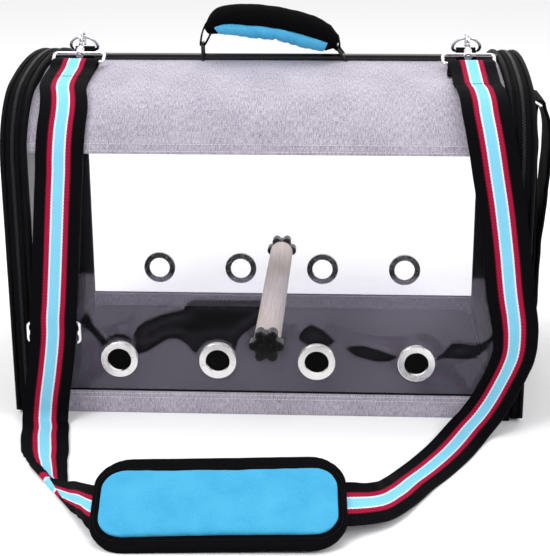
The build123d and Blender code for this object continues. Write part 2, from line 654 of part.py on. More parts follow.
with BuildPart() as handle_rings:
    for _, foot_x, tilt in RINGS:
        middle = (ring_end(foot_x, tilt) + Vector(foot_x, 0) - Vector(0, RING_DROP / cos(radians(tilt))).rotate(Axis.Z, -tilt)) / 2
        rise = Vector(0, 1).rotate(Axis.Z, -tilt)
        lift = HANDLE_PLANE.from_local_coords(rise) - HANDLE_PLANE.origin
        across = HANDLE_PLANE.z_dir
        ring_plane = Plane(
            origin=HANDLE_PLANE.from_local_coords(middle),
            x_dir=across,
            z_dir=across.cross(lift),
        )
        add(wire_loop(ring_plane, RING_WIDTH, RING_LENGTH, 3, RING_WIRE))
save(handle_rings, "handle_rings")

CORE_LINE = [ring_end(-HALF_SPAN, 0), *[Vector(*spot) for spot in HANDLE_LINE], ring_end(HALF_SPAN, -RING_TILT)]

with BuildPart() as handle_core:
    add(handle_strip(CORE_LINE, TAB_WIDTH, CORE_THICK))
    add(handle_strip(CORE_LINE[2:-2], CORE_WIDTH, CORE_THICK))
    for end in (CORE_LINE[0], CORE_LINE[-1]):
        with BuildSketch(HANDLE_PLANE.offset(-TAB_WIDTH / 2)):
            with Locations(end):
                Circle(RING_WIRE + TAB_WALL)
        extrude(amount=TAB_WIDTH)
        with BuildSketch(HANDLE_PLANE.offset(-TAB_WIDTH)):
            with Locations(end):
                Circle(RING_WIRE + RUNNING_FIT)
        extrude(amount=2 * TAB_WIDTH, mode=Mode.SUBTRACT)
save(handle_core, "handle_core")

GRIP_START = -HALF_SPAN + 11
GRIP_STOP = HALF_SPAN - 15

with BuildPart() as grip_zone:
    with BuildSketch(HANDLE_PLANE.offset(-HANDLE_DEPTH)):
        with BuildLine():
            Polyline((GRIP_START, 28), *HANDLE_LINE[1:5], (GRIP_STOP, 16.5))
            Polyline((GRIP_STOP, 16.5), (GRIP_STOP, -20), (GRIP_START, -20), (GRIP_START, 28))
        make_face()
    extrude(amount=2 * HANDLE_DEPTH)

with BuildPart() as handle_grip:
    add(handle_body(0))
    add(handle_core.part, mode=Mode.SUBTRACT)
    add(grip_zone.part, mode=Mode.INTERSECT)
save(handle_grip, "handle_grip")

with BuildPart() as handle_cover:
    add(handle_body(0))
    add(handle_core.part, mode=Mode.SUBTRACT)
    add(grip_zone.part, mode=Mode.SUBTRACT)
save(handle_cover, "handle_cover")

# ------------------------------------------------------------------ shoulder strap
LAYER = WEBBING + FIT              # spacing of two layers of webbing
UNDER = WEBBING / 2 + 0.2          # lift of the lower layer off the panels
OVER = UNDER + LAYER
WRAP = EYE_WIRE + 0.25 + WEBBING / 2
HANG_LEFT = 9.5                    # left course drifts outwards by this much at the adjuster
GLIDE_X = -HOOK_X - HANG_LEFT
GLIDE_Z = SHOULDER_HEIGHT - GLIDE_DROP
FRONT_Y = -HALF_WIDTH - GLIDE_GAP
GLIDE_WRAP = GLIDE_BAR / 2 + 0.25 + WEBBING / 2
GLIDE_Y = FRONT_Y + LAYER + GLIDE_WRAP
FOLD_LEFT = Vector(-0.9395 * PANEL_HALF, -HALF_WIDTH - 106, 0)   # ends of the diagonal fold on the ground
FOLD_RIGHT = Vector(-0.6579 * PANEL_HALF, -HALF_WIDTH - 184, 0)
FOLD_RADIUS = LAYER / 2 + 0.2
ARCH_TURNS = (8, 11, 14, 20, 28, 37, 46, 55, 64, 73, 82, 90)
PAD_MIDDLE = Vector(
    PAD_SHIFT * PANEL_HALF, -HALF_WIDTH - PAD_FORWARD, PAD_WIDTH / 2 * sin(radians(PAD_TILT)) + FIT
)
PAD_PLANE = Plane(origin=PAD_MIDDLE).rotated((PAD_TILT, 0, 0)).rotated((0, 0, PAD_TURN))
PAD_PLANE.origin = PAD_MIDDLE


def heading(turn, rise=0.0):
    """Unit vector turned about the vertical from +X, then raised."""
    flat = cos(radians(rise))
    return Vector(flat * cos(radians(turn)), flat * sin(radians(turn)), sin(radians(rise)))


class Lay:
    """Course of the webbing: middle points, directions across it and widths."""

    def __init__(self):
        self.stops = []

    def to(self, x, y, z, turn=0.0, rise=0.0, wide=WEBBING_WIDTH):
        """Add one stop."""
        self.stops.append((Vector(x, y, z), heading(turn, rise), wide))

    def hang(self, x, forward, z, turn=0.0):
        """Add one stop in front of the cabin, measured forward of the window."""
        self.to(x, -HALF_WIDTH - forward, z, turn)

    def ground(self, share, forward, z, turn=0.0, rise=0.0, wide=WEBBING_WIDTH):
        """Add one stop of the part that lies in front: x as a share of the half length of the cabin."""
        self.to(share * PANEL_HALF, -HALF_WIDTH - forward, z, turn, rise, wide)

    def wrap(self, x, y, z, radius, start, stop):
        """Bend round a bar that lies along X."""
        for step in range(9):
            angle = radians(start + (stop - start) * step / 8)
            self.to(x, y + radius * cos(angle), z + radius * sin(angle))

    def planes(self):
        """Section plane and width of every stop."""
        last = len(self.stops) - 1
        for place, (middle, across, wide) in enumerate(self.stops):
            ahead = self.stops[min(place + 1, last)][0] - self.stops[max(place - 1, 0)][0]
            face = ahead.cross(across)
            yield Plane(origin=middle, x_dir=across, z_dir=across.cross(face)), wide


lay = Lay()
# short end behind the adjuster, round its bar and up behind the strap
lay.to(GLIDE_X, GLIDE_Y + GLIDE_WRAP, GLIDE_Z + 16)
lay.wrap(GLIDE_X, GLIDE_Y, GLIDE_Z, GLIDE_WRAP, 0, -180)
lay.to(-HOOK_X - 8.7, FRONT_Y + LAYER, GLIDE_Z + 15)
LEFT_HANG = (
    (1.5, 5.6, SHOULDER_HEIGHT - 20),
    (4, 9, SHOULDER_HEIGHT - 57),
    (6.3, 12, GLIDE_Z + 45),
    (7.7, 14.6, GLIDE_Z + 25),
)
for out, forward, z in LEFT_HANG[::-1]:
    lay.hang(-HOOK_X - out, forward - LAYER, z)
for turn in ARCH_TURNS[::-1]:
    spot = arch_point(turn, UNDER)
    lay.to(-HOOK_X + 2 * min(turn / 45, 1), spot.Y, spot.Z)
# round the bar of the left eye and back down in front
lay.wrap(-HOOK_X, -EYE_SETBACK, EYE_BAR_Z, WRAP, -90, 90)
for turn in ARCH_TURNS:
    spot = arch_point(turn, OVER)
    lay.to(-HOOK_X + 2 * min(turn / 45, 1), spot.Y, spot.Z)
for out, forward, z in LEFT_HANG:
    lay.hang(-HOOK_X - out, forward, z)
lay.to(-HOOK_X - 8.7, FRONT_Y - 0.1, GLIDE_Z + 15)
lay.to(GLIDE_X, FRONT_Y, GLIDE_Z)
for out, forward, z in ((13.2, 18, 44), (17.2, 20, 18), (18.2, 21.5, 8)):
    lay.hang(-HOOK_X - out, forward, z)
# along the ground to the diagonal fold
lay.ground(-0.9579, 25.5, 2.6)
lay.ground(-0.9474, 33, 1.1, 6)
lay.ground(-0.9316, 51, 1.1, 12)
lay.ground(-0.9026, 76, 1.1, 3)
lay.ground(-0.8789, 94, 1.1, -15)
lay.ground(-0.8553, 108, 1.1, -30, wide=44)
lay.ground(-0.8289, 123.2, 1.1, -44.6, wide=59)
crease = FOLD_RIGHT - FOLD_LEFT
crease_turn = degrees(atan2(crease.Y, crease.X))
outward = heading(crease_turn - 90)
for angle in range(-90, 91, 30):
    spot = (FOLD_LEFT + FOLD_RIGHT) / 2 + outward * (FOLD_RADIUS * (cos(radians(angle)) - 1) - WEBBING / 2)
    lay.to(spot.X, spot.Y, 1.1 + FOLD_RADIUS * (1 + sin(radians(angle))), crease_turn, wide=crease.length)
lay.ground(-0.7211, 157.8, 4.8, -64.9, wide=61)
lay.ground(-0.6816, 168.5, 6.8, -72.8, -2, wide=56)
lay.ground(-0.6474, 181.8, 10.6, -79.5, -10, wide=48)
# under the pad
for along in (-PAD_LENGTH / 2 - 4, 0, PAD_LENGTH / 2 + 4):
    spot = PAD_PLANE.from_local_coords(Vector(along, 0, -WEBBING / 2 - FIT))
    lay.to(spot.X, spot.Y, spot.Z, PAD_TURN - 90, -PAD_TILT)
# along the ground on the right, turning up on to the shoulder
lay.ground(0.4632, 176, 12, -72, -18)
lay.ground(0.5421, 149, 5.5, -55, -8)
lay.ground(0.6121, 120, 1.6, -41)
lay.ground(0.6742, 100.6, 1.1, -34)
lay.ground(0.7279, 82.8, 1.1, -30)
lay.ground(0.7789, 64, 1.1, -27)
lay.ground(0.8237, 45.4, 1.3, -27)
lay.ground(0.8684, 30.5, 4.5, -33)
RIGHT_HANG = (
    (10, 23, 0.0571, -40),
    (19, 19.5, 0.119, -44),
    (25.3, 18.5, 0.179, -45),
    (31, 17.5, 0.2395, -43),
    (35, 16.8, 0.2995, -38),
    (35.8, 16, 0.359, -30),
    (34.5, 15, 0.4381, -17),
    (31.5, 14, 0.5167, -7),
    (26, 11.8, 0.7114, 0),
    (19.8, 10, 0.9019, 0),
)
for out, forward, share, turn in RIGHT_HANG:
    lay.hang(HOOK_X + out, forward, share * SHOULDER_HEIGHT, turn)
RIGHT_ARCH = ((90, 16, 8), (75, 13, 8), (60, 10, 8), (48, 8, 8), (37, 6.5, 7.5), (28, 5, 6), (20, 3.5, 4.5))
for turn, out, lift in (*RIGHT_ARCH, (14.5, 2, 3.3), (10, 0.5, OVER)):
    spot = arch_point(turn, lift)
    lay.to(HOOK_X + out, spot.Y, spot.Z)
lay.wrap(HOOK_X, -EYE_SETBACK, EYE_BAR_Z, WRAP, 90, -90)
for turn in (8, 9.4):
    spot = arch_point(turn, UNDER)
    lay.to(HOOK_X, spot.Y, spot.Z)

with BuildPart() as shoulder_strap:
    for plane, wide in lay.planes():
        with BuildSketch(plane):
            Rectangle(wide, WEBBING)
    loft(ruled=True)
save(shoulder_strap, "shoulder_strap")

SLOT = (GLIDE_HEIGHT - 3 * GLIDE_BAR) / 2

with BuildPart() as tri_glide:
    glide_plane = Plane(origin=(GLIDE_X, GLIDE_Y, GLIDE_Z), x_dir=(1, 0, 0), z_dir=(0, -1, 0))
    with BuildSketch(glide_plane.offset(-GLIDE_BAR / 2)):
        RectangleRounded(GLIDE_WIDTH, GLIDE_HEIGHT, 4.5)
        with GridLocations(1, SLOT + GLIDE_BAR, 1, 2):
            RectangleRounded(GLIDE_WIDTH - 2 * GLIDE_BAR, SLOT, 2, mode=Mode.SUBTRACT)
    extrude(amount=GLIDE_BAR)
    fillet(tri_glide.edges().group_by(Axis.Y)[0], radius=0.8)
    fillet(tri_glide.edges().group_by(Axis.Y)[-1], radius=0.8)
save(tri_glide, "tri_glide")

# ------------------------------------------------------------------ shoulder pad
with BuildPart() as pad_base:
    with BuildSketch(PAD_PLANE):
        RectangleRounded(PAD_LENGTH, PAD_WIDTH, 24)
    extrude(amount=PAD_BASE)
save(pad_base, "pad_base")

with BuildPart() as pad_cushion:
    with BuildSketch(PAD_PLANE.offset(PAD_BASE)):
        RectangleRounded(PAD_LENGTH - 2 * PAD_BORDER, PAD_WIDTH - 2.5 * PAD_BORDER, 15)
    extrude(amount=PAD_CUSHION)
    fillet(pad_cushion.faces().sort_by(Axis(PAD_PLANE.origin, PAD_PLANE.z_dir))[-1].edges(), radius=5)
save(pad_cushion, "pad_cushion")

# ------------------------------------------------------------------ seat-belt strap on the right door
BELT_RING = (DOOR_END + BELT_REACH, SHOULDER_HEIGHT + BELT_RISE)
BELT_ANCHOR = (DOOR_END + BELT_ANCHOR_REACH, BELT_RING[1] + BELT_ANCHOR_RISE)
BELT_TURN = BELT_RING_WIRE + 0.2 + BELT_THICK / 2
# Out from the door, and share of the height of the ring
BELT_INNER = ((18.3, 0.3457), (18.6, 0.4774), (17.3, 0.6708), (15.6, 0.8724))
BELT_OUTER = (
    (25.6, 0.9383),
    (27.7, 0.8724),
    (26.2, 0.6708),
    (22.8, 0.465),
    (22.3, 0.251),
    (18, 0.1481),
    (10, 0.0864),
)
BELT_END = (DOOR_END + BELT_THICK / 2, 7)


def belt_course(stops):
    """Stops of the hanging webbing in the side view."""
    return [(DOOR_END + out, share * BELT_RING[1]) for out, share in stops]


def belt_outline():
    """Side profile of the folded webbing, from its short inner end round the ring to the foot."""
    ring_x, ring_z = BELT_RING
    bend = [
        (ring_x - BELT_TURN * cos(radians(angle)), ring_z + BELT_TURN * sin(radians(angle)))
        for angle in range(0, 181, 30)
    ]
    course = [*belt_course(BELT_INNER), *bend, *belt_course(BELT_OUTER), (BELT_END[0], BELT_END[1] + 8), BELT_END]
    with BuildSketch() as outline:
        for start, end in zip(course[:-1], course[1:]):
            with BuildSketch(mode=Mode.PRIVATE) as ends:
                with Locations(start, end):
                    Circle(BELT_THICK / 2)
            add(make_hull(ends.edges(), mode=Mode.PRIVATE))
    return outline.sketch


SIDE_PLANE = Plane(origin=(0, 0, 0), x_dir=(1, 0, 0), z_dir=(0, -1, 0))

with BuildPart() as belt_strap:
    with BuildSketch(SIDE_PLANE.offset(-BELT_WIDTH / 2)):
        add(belt_outline())
    extrude(amount=BELT_WIDTH)
save(belt_strap, "belt_strap")

with BuildPart() as belt_tab:
    with BuildSketch(SIDE_PLANE.offset(-BELT_WIDTH / 2)):
        with BuildSketch(mode=Mode.PRIVATE) as ends:
            with Locations(BELT_ANCHOR):
                Circle(BELT_RING_WIRE + WEBBING)
            with Locations((PANEL_FACE + DOOR_FABRIC + 1, BELT_ANCHOR[1])):
                Rectangle(2, 16)
        make_hull(ends.edges())
        with Locations(BELT_ANCHOR):
            Circle(BELT_RING_WIRE, mode=Mode.SUBTRACT)
    extrude(amount=BELT_WIDTH)
save(belt_tab, "belt_tab")

with BuildPart() as belt_ring:
    ring_run = Vector(BELT_RING[0] - BELT_ANCHOR[0], 0, BELT_RING[1] - BELT_ANCHOR[1])
    ring_plane = Plane(
        origin=((BELT_RING[0] + BELT_ANCHOR[0]) / 2, 0, (BELT_RING[1] + BELT_ANCHOR[1]) / 2),
        x_dir=(0, 1, 0),
        z_dir=Vector(0, 1, 0).cross(ring_run),
    )
    add(wire_loop(ring_plane, BELT_WIDTH + 4 + 2 * BELT_RING_WIRE, ring_run.length, 2.5, BELT_RING_WIRE))
save(belt_ring, "belt_ring")

# ------------------------------------------------------------------ zip sliders
SLIDER_FLOOR = HALF_WIDTH + COIL_TOP + FIT
BAIL_WIDTH = 1.6
BAIL_WALL = 1.2
BAIL_HALF = 4.5
BAIL_HEIGHT = 3.6
PULL_BAR = 0.8
PULL_ARM = 1.2
PULL_Y = SLIDER_FLOOR + SLIDER_PLATE + PULL_BAR + FIT
PULL_START = hypot(BAIL_HALF, BAIL_HEIGHT - PULL_BAR - FIT) + FIT   # clear of the bail all the way round

for side_name, side in SIDES:
    slider_x = side * ZIP_X
    with BuildPart() as slider:
        with BuildSketch(Plane(origin=(slider_x, SLIDER_FLOOR, SLIDER_HEIGHT), x_dir=(1, 0, 0), z_dir=(0, 1, 0))):
            RectangleRounded(SLIDER_WIDTH, SLIDER_LENGTH, 2.5)
        extrude(amount=SLIDER_PLATE)
        # guide beside the teeth of the fixed half; the door half is left free to swing out
        flange_x = side * (BAND_END - COIL_WIDTH - FIT - 1)
        with Locations((flange_x, SLIDER_FLOOR - COIL / 2, SLIDER_HEIGHT)):
            Box(2, COIL, SLIDER_LENGTH - 5)
        with Locations((slider_x, SLIDER_FLOOR + SLIDER_PLATE + BAIL_HEIGHT / 2, SLIDER_HEIGHT)):
            Box(BAIL_WIDTH, BAIL_HEIGHT, 2 * BAIL_HALF)
        with Locations((slider_x, SLIDER_FLOOR + SLIDER_PLATE + (BAIL_HEIGHT - BAIL_WALL) / 2, SLIDER_HEIGHT)):
            Box(2 * BAIL_WIDTH, BAIL_HEIGHT - BAIL_WALL, 2 * (BAIL_HALF - BAIL_WALL), mode=Mode.SUBTRACT)
    save(slider, f"{side_name}_zip_slider")

    with BuildPart() as pull:
        arm_x = BAIL_WIDTH / 2 + FIT + PULL_ARM / 2
        with BuildSketch(Plane.YZ.offset(slider_x - arm_x - PULL_ARM / 2)):
            with Locations((PULL_Y, SLIDER_HEIGHT)):
                Circle(PULL_BAR)
        extrude(amount=2 * arm_x + PULL_ARM)
        with BuildSketch(Plane(origin=(slider_x, PULL_Y - PULL_BAR * 0.75, SLIDER_HEIGHT), x_dir=(1, 0, 0), z_dir=(0, 1, 0))):
            with Locations((0, PULL_START + PULL_LENGTH / 2)):
                RectangleRounded(PULL_WIDTH, PULL_LENGTH, 2)
            with Locations((arm_x, PULL_START / 2 + 1), (-arm_x, PULL_START / 2 + 1)):
                Rectangle(PULL_ARM, PULL_START + 2)
        extrude(amount=PULL_BAR * 1.5)
    save(pull, f"{side_name}_zip_pull")
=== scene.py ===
"""Dressed model of a soft-sided bird travel carrier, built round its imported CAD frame.

Metres, +Z up, X along the cabin, -Y the front window. Rigid pieces keep their CAD shape and get a
finish; every soft piece is modelled again here and stands for its plain CAD solid.
"""
import json
import logging
import math
from contextlib import contextmanager
from dataclasses import dataclass, field
from enum import Enum
from typing import Callable, Iterator, Sequence

import bmesh
import bpy
import numpy as np
from mathutils import Matrix, Vector

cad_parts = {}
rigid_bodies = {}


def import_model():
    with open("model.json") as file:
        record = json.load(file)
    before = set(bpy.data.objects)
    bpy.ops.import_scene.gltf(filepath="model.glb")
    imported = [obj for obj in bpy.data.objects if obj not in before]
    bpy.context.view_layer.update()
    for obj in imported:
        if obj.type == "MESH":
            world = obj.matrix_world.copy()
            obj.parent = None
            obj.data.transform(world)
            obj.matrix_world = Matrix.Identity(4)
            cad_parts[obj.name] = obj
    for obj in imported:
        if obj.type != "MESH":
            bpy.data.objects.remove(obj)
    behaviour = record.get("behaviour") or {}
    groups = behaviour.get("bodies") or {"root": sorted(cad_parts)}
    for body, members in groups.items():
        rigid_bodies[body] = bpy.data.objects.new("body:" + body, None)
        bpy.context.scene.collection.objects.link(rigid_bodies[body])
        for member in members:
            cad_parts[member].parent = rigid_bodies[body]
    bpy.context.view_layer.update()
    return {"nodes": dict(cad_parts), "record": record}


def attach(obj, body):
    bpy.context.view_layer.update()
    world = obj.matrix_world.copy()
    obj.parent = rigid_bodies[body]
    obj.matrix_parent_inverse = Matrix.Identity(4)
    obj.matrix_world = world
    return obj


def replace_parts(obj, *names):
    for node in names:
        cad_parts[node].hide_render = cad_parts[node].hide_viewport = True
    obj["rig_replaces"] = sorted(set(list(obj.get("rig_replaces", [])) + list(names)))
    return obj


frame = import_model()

Array = np.ndarray
Pair = tuple[np.ndarray, np.ndarray]
Piece = bpy.types.Object
Socket = bpy.types.NodeSocket
Point = tuple[float, float]
Spot = tuple[float, float, float]
Line = tuple[tuple[float, float], ...]
Stops = tuple[tuple[float, str], ...]
Inputs = dict[str | int, object]

log = logging.getLogger("carrier")
MM = 0.001


class Way(Enum):
    """Direction of the cabin, whose value is its sign along its axis."""

    @property
    def word(self) -> str:
        """Name of the direction, as the frame's nodes and bodies use it."""
        return self.name.lower()


class Side(Way):
    """End of the cabin, with its direction along X."""

    LEFT = -1
    RIGHT = 1


class Face(Way):
    """Long face of the cabin, with its direction along Y."""

    FRONT = -1
    BACK = 1


# ---------------------------------------------------------------- finishes
def linear(code: str) -> tuple[float, float, float, float]:
    """Turn an sRGB hex colour into linear light.

    Args:
        code: Colour as #rrggbb.

    Returns:
        Linear red, green and blue, and an alpha of 1.
    """
    parts = [int(code[i : i + 2], 16) / 255 for i in (1, 3, 5)]
    red, green, blue = (c / 12.92 if c <= 0.04045 else ((c + 0.055) / 1.055) ** 2.4 for c in parts)
    return red, green, blue, 1.0


class Nodes:
    """Node tree of a material or of the world."""

    def __init__(self, owner: bpy.types.Material | bpy.types.World) -> None:
        """Start with the cleared tree of a material or of the world."""
        owner.use_nodes = True
        self.tree = owner.node_tree
        self.tree.nodes.clear()

    def add(
        self, kind: str, output: str | int | None, inputs: Inputs, stops: Stops = (), **settings: object
    ) -> Socket | None:
        """Add a node with its settings, values and links.

        Args:
            kind: Blender's name of the node type, without its first word.
            output: Name or place of the wanted output, or None.
            inputs: Value or source socket for each input, by name or place.
            stops: Places and hex colours of a colour ramp.
            settings: Properties of the node.

        Returns:
            The wanted output.
        """
        node = self.tree.nodes.new(f"ShaderNode{kind}")
        for name, value in settings.items():
            setattr(node, name, value)
        for key, value in inputs.items():
            if isinstance(value, Socket):
                self.tree.links.new(value, node.inputs[key])
            else:
                node.inputs[key].default_value = value
        for _ in stops[2:]:
            node.color_ramp.elements.new(1.0)
        for element, (place, code) in zip(node.color_ramp.elements if stops else (), stops):
            element.position = place
            element.color = linear(code)
        return None if output is None else node.outputs[output]

    def lay(self, across: float, along: float) -> Socket:
        """Coordinates that follow the cloth, by their repeats in a metre across and along it."""
        lay = self.add("Attribute", "Vector", {}, attribute_name="lay")
        return self.add("VectorMath", "Vector", {0: lay, 1: (across, along, 1.0)}, operation="MULTIPLY")


DULL = 0.03  # specular level of black cloth, which hardly reflects


@dataclass(frozen=True)
class Finish:
    """A surface finish that makes its material once.

    Attributes:
        name: Name of the material.
        slot: Material slot of the record that it belongs to.
    """

    name: str
    slot: str

    def material(self) -> bpy.types.Material:
        """Return the material, made on first use."""
        made = bpy.data.materials.get(self.name)
        if made is None:
            made = bpy.data.materials.new(self.name)
            nodes = Nodes(made)
            nodes.add("OutputMaterial", None, {"Surface": self.shade(nodes)})
        return made

    def shade(self, nodes: Nodes) -> Socket:
        """Build the nodes and return the shader socket."""
        raise NotImplementedError


@dataclass(frozen=True)
class HeatherPolyester(Finish):
    """Woven polyester of mixed light and dark yarns: a soft grey with short upright slubs.

    Its real yarns are 0.4 mm apart; they are drawn 0.9 mm wide so that the streaks show.
    """

    light: str = "#c9c3cf"
    middle: str = "#a29ba9"
    dark: str = "#6c6575"
    yarn: float = 0.9 * MM
    slub: float = 5.0 * MM
    roughness: float = 0.85

    def shade(self, nodes: Nodes) -> Socket:
        """Streaked colour, fine weave bump and a little sheen."""
        upright, fine = nodes.lay(1 / self.yarn, 1 / self.slub), nodes.lay(1.1 / self.yarn, 0.9 / self.yarn)
        inputs = {"Vector": upright, "Scale": 1.0, "Detail": 3.0, "Roughness": 0.7}
        streak = nodes.add("TexNoise", "Fac", inputs)
        fleck = nodes.add("TexNoise", "Fac", {"Vector": fine, "Scale": 1.0, "Detail": 2.0})
        cloud = nodes.add("TexNoise", "Fac", {"Vector": nodes.lay(30, 18), "Scale": 1.0, "Detail": 3.0})
        yarns = nodes.add("Mix", 0, {0: 0.42, 2: streak, 3: fleck}, data_type="FLOAT")
        worn = nodes.add("Math", 0, {0: cloud, 1: 0.16, 2: yarns}, operation="MULTIPLY_ADD")
        stops = ((0.42, self.dark), (0.56, self.middle), (0.72, self.light))
        colour = nodes.add("ValToRGB", "Color", {"Fac": worn}, stops)
        bump = nodes.add("Bump", "Normal", {"Height": yarns, "Strength": 0.35, "Distance": 0.4 * MM})
        look = {"Base Color": colour, "Roughness": self.roughness, "Normal": bump, "Sheen Weight": 0.15}
        return nodes.add("BsdfPrincipled", 0, look)


@dataclass(frozen=True)
class WovenBinding(Finish):
    """Black woven polyester tape and cloth: a deep charcoal with a fine diagonal rib."""

    dark: str = "#060607"
    light: str = "#161619"
    rib: float = 1.3 * MM
    roughness: float = 0.8
    depth: float = 0.25 * MM

    def shade(self, nodes: Nodes) -> Socket:
        """Diagonal ribs broken up by noise, with worn lighter places."""
        even = nodes.lay(1 / self.rib, 1 / self.rib)
        inputs = {"Vector": even, "Scale": 0.5, "Distortion": 0.6, "Detail": 1.0}
        ribs = nodes.add("TexWave", "Fac", inputs, bands_direction="DIAGONAL")
        uneven = nodes.lay(0.6 / self.rib, 0.35 / self.rib)
        fuzz = nodes.add("TexNoise", "Fac", {"Vector": uneven, "Scale": 1.0, "Detail": 4.0})
        weave = nodes.add("Mix", 0, {0: 0.6, 2: ribs, 3: fuzz}, data_type="FLOAT")
        colour = nodes.add("ValToRGB", "Color", {"Fac": weave}, ((0.3, self.dark), (0.72, self.light)))
        bump = nodes.add("Bump", "Normal", {"Height": weave, "Strength": 0.5, "Distance": self.depth})
        look = {"Base Color": colour, "Roughness": self.roughness, "Normal": bump, "Specular IOR Level": DULL}
        return nodes.add("BsdfPrincipled", 0, look)


@dataclass(frozen=True)
class StripedWebbing(Finish):
    """Woven webbing with warp stripes: crisp colours whose edges step with the weave.

    Attributes:
        width: Width of the webbing.
        stripes: Share of the width where each stripe starts, and its colour.
        weft: Half of the distance from step to step.
        roughness: Its roughness.
    """

    width: float
    stripes: Stops
    weft: float = 1.4 * MM
    roughness: float = 0.62

    def shade(self, nodes: Nodes) -> Socket:
        """Stripes across the webbing, serrated by the weft, with a ribbed bump."""
        lay = nodes.add("Attribute", "Vector", {}, attribute_name="lay")
        along = nodes.add("SeparateXYZ", "Y", {0: lay})
        across = along.node.outputs["X"]
        saw = nodes.add("Math", 0, {0: along, 1: self.weft}, operation="PINGPONG")
        stepped = nodes.add("Math", 0, {0: saw, 1: 0.35, 2: across}, operation="MULTIPLY_ADD")
        share = nodes.add("Math", 0, {0: stepped, 1: 1 / self.width, 2: 0.5}, operation="MULTIPLY_ADD")
        colour = nodes.add("ValToRGB", "Color", {"Fac": share}, self.stripes)
        colour.node.color_ramp.interpolation = "CONSTANT"
        fine = nodes.lay(1 / (0.7 * MM), 1 / (1.6 * MM))
        threads = nodes.add("TexNoise", "Fac", {"Vector": fine, "Scale": 1.0, "Detail": 2.0})
        inputs = {"Vector": nodes.lay(0.2 / self.weft, 1 / self.weft), "Scale": 0.5, "Distortion": 0.4}
        ribs = nodes.add("TexWave", "Fac", inputs, bands_direction="Y")
        grain = nodes.add("Mix", 0, {0: 0.5, 2: ribs, 3: threads}, data_type="FLOAT")
        both = {0: 0.18, 6: colour, 7: grain}
        shaded = nodes.add("Mix", 2, both, data_type="RGBA", blend_type="OVERLAY")
        bump = nodes.add("Bump", "Normal", {"Height": grain, "Strength": 0.4, "Distance": 0.3 * MM})
        look = {"Base Color": shaded, "Roughness": self.roughness, "Normal": bump, "Specular IOR Level": DULL}
        return nodes.add("BsdfPrincipled", 0, look)


@dataclass(frozen=True)
class BrushedKnit(Finish):
    """Brushed tricot over foam: a bright soft blue with a fine nap and faint mottling."""

    light: str = "#49acd3"
    dark: str = "#3296c4"
    nap: float = 1.1 * MM
    roughness: float = 0.7

    def shade(self, nodes: Nodes) -> Socket:
        """Mottled colour, a fine nap bump and sheen on the turned edges."""
        fine = nodes.lay(1 / self.nap, 1 / self.nap)
        inputs = {"Vector": fine, "Scale": 1.0, "Detail": 3.0, "Roughness": 0.7}
        nap = nodes.add("TexNoise", "Fac", inputs)
        patch = nodes.add("TexNoise", "Fac", {"Vector": nodes.lay(40, 40), "Scale": 1.0, "Detail": 3.0})
        both = nodes.add("Mix", 0, {0: 0.45, 2: nap, 3: patch}, data_type="FLOAT")
        colour = nodes.add("ValToRGB", "Color", {"Fac": both}, ((0.35, self.dark), (0.65, self.light)))
        bump = nodes.add("Bump", "Normal", {"Height": nap, "Strength": 0.3, "Distance": 0.3 * MM})
        look = {"Base Color": colour, "Roughness": self.roughness, "Normal": bump}
        return nodes.add("BsdfPrincipled", 0, {**look, "Specular IOR Level": 0.15, "Sheen Weight": 0.06})


@dataclass(frozen=True)
class ClearVinyl(Finish):
    """Flexible clear PVC sheet: it lets nearly all light through and mirrors at grazing angles.

    The haze painted on a sheet scales both its shine and its milky veil. It is taken out where dark
    reflections are painted on the film, so the dark floor shows through there.

    Attributes:
        shine: Share mirrored when seen straight on.
        milk: Share of the veil.
        roughness: Roughness of the mirror.
    """

    shine: float = 0.022
    milk: float = 0.1
    roughness: float = 0.03

    def shade(self, nodes: Nodes) -> Socket:
        """Mix of a clear sheet, a milky veil and a mirror-like shine that grows at grazing angles."""
        # Painted reflection mask: the painted haze scales shine and veil, and it is near zero inside the
        # painted dark reflections.
        haze = nodes.add("Attribute", "Fac", {}, attribute_name="haze")
        facing = nodes.add("LayerWeight", "Facing", {"Blend": 0.5})
        grazing = nodes.add("Math", 0, {0: facing, 1: 5.0}, operation="POWER")
        inputs = {0: grazing, 1: 1 - self.shine, 2: self.shine}
        mirror = nodes.add("Math", 0, inputs, operation="MULTIPLY_ADD")
        mirror = nodes.add("Math", 0, {0: mirror, 1: haze}, operation="MULTIPLY")
        veil = nodes.add("Math", 0, {0: haze, 1: self.milk}, operation="MULTIPLY")
        clear = nodes.add("BsdfTransparent", 0, {"Color": linear("#f8f8fa")})
        milk = nodes.add("BsdfDiffuse", 0, {"Color": linear("#ece0ff")})
        gloss = nodes.add("BsdfGlossy", 0, {"Color": linear("#f3f2f8"), "Roughness": self.roughness})
        cloudy = nodes.add("MixShader", 0, {0: veil, 1: clear, 2: milk})
        return nodes.add("MixShader", 0, {0: mirror, 1: cloudy, 2: gloss})


@dataclass(frozen=True)
class KnitMesh(Finish):
    """Warp-knitted polyester net: black threads round small holes that show what is behind."""

    thread: str = "#0a0a0c"
    cell: float = 2.4 * MM

    def shade(self, nodes: Nodes) -> Socket:
        """Threads of a hexagonal net, with clear holes between them."""
        inputs = {"Vector": nodes.lay(1 / self.cell, 1 / self.cell), "Scale": 1.0, "Randomness": 0.15}
        cells = nodes.add("TexVoronoi", "Distance", inputs, feature="DISTANCE_TO_EDGE")
        thread = nodes.add("Math", 0, {0: cells, 1: 0.3}, operation="LESS_THAN")
        look = {"Base Color": linear(self.thread), "Roughness": 0.8, "Specular IOR Level": DULL}
        cloth = nodes.add("BsdfPrincipled", 0, look)
        hole = nodes.add("BsdfTransparent", 0, {})
        return nodes.add("MixShader", 0, {0: thread, 1: hole, 2: cloth})


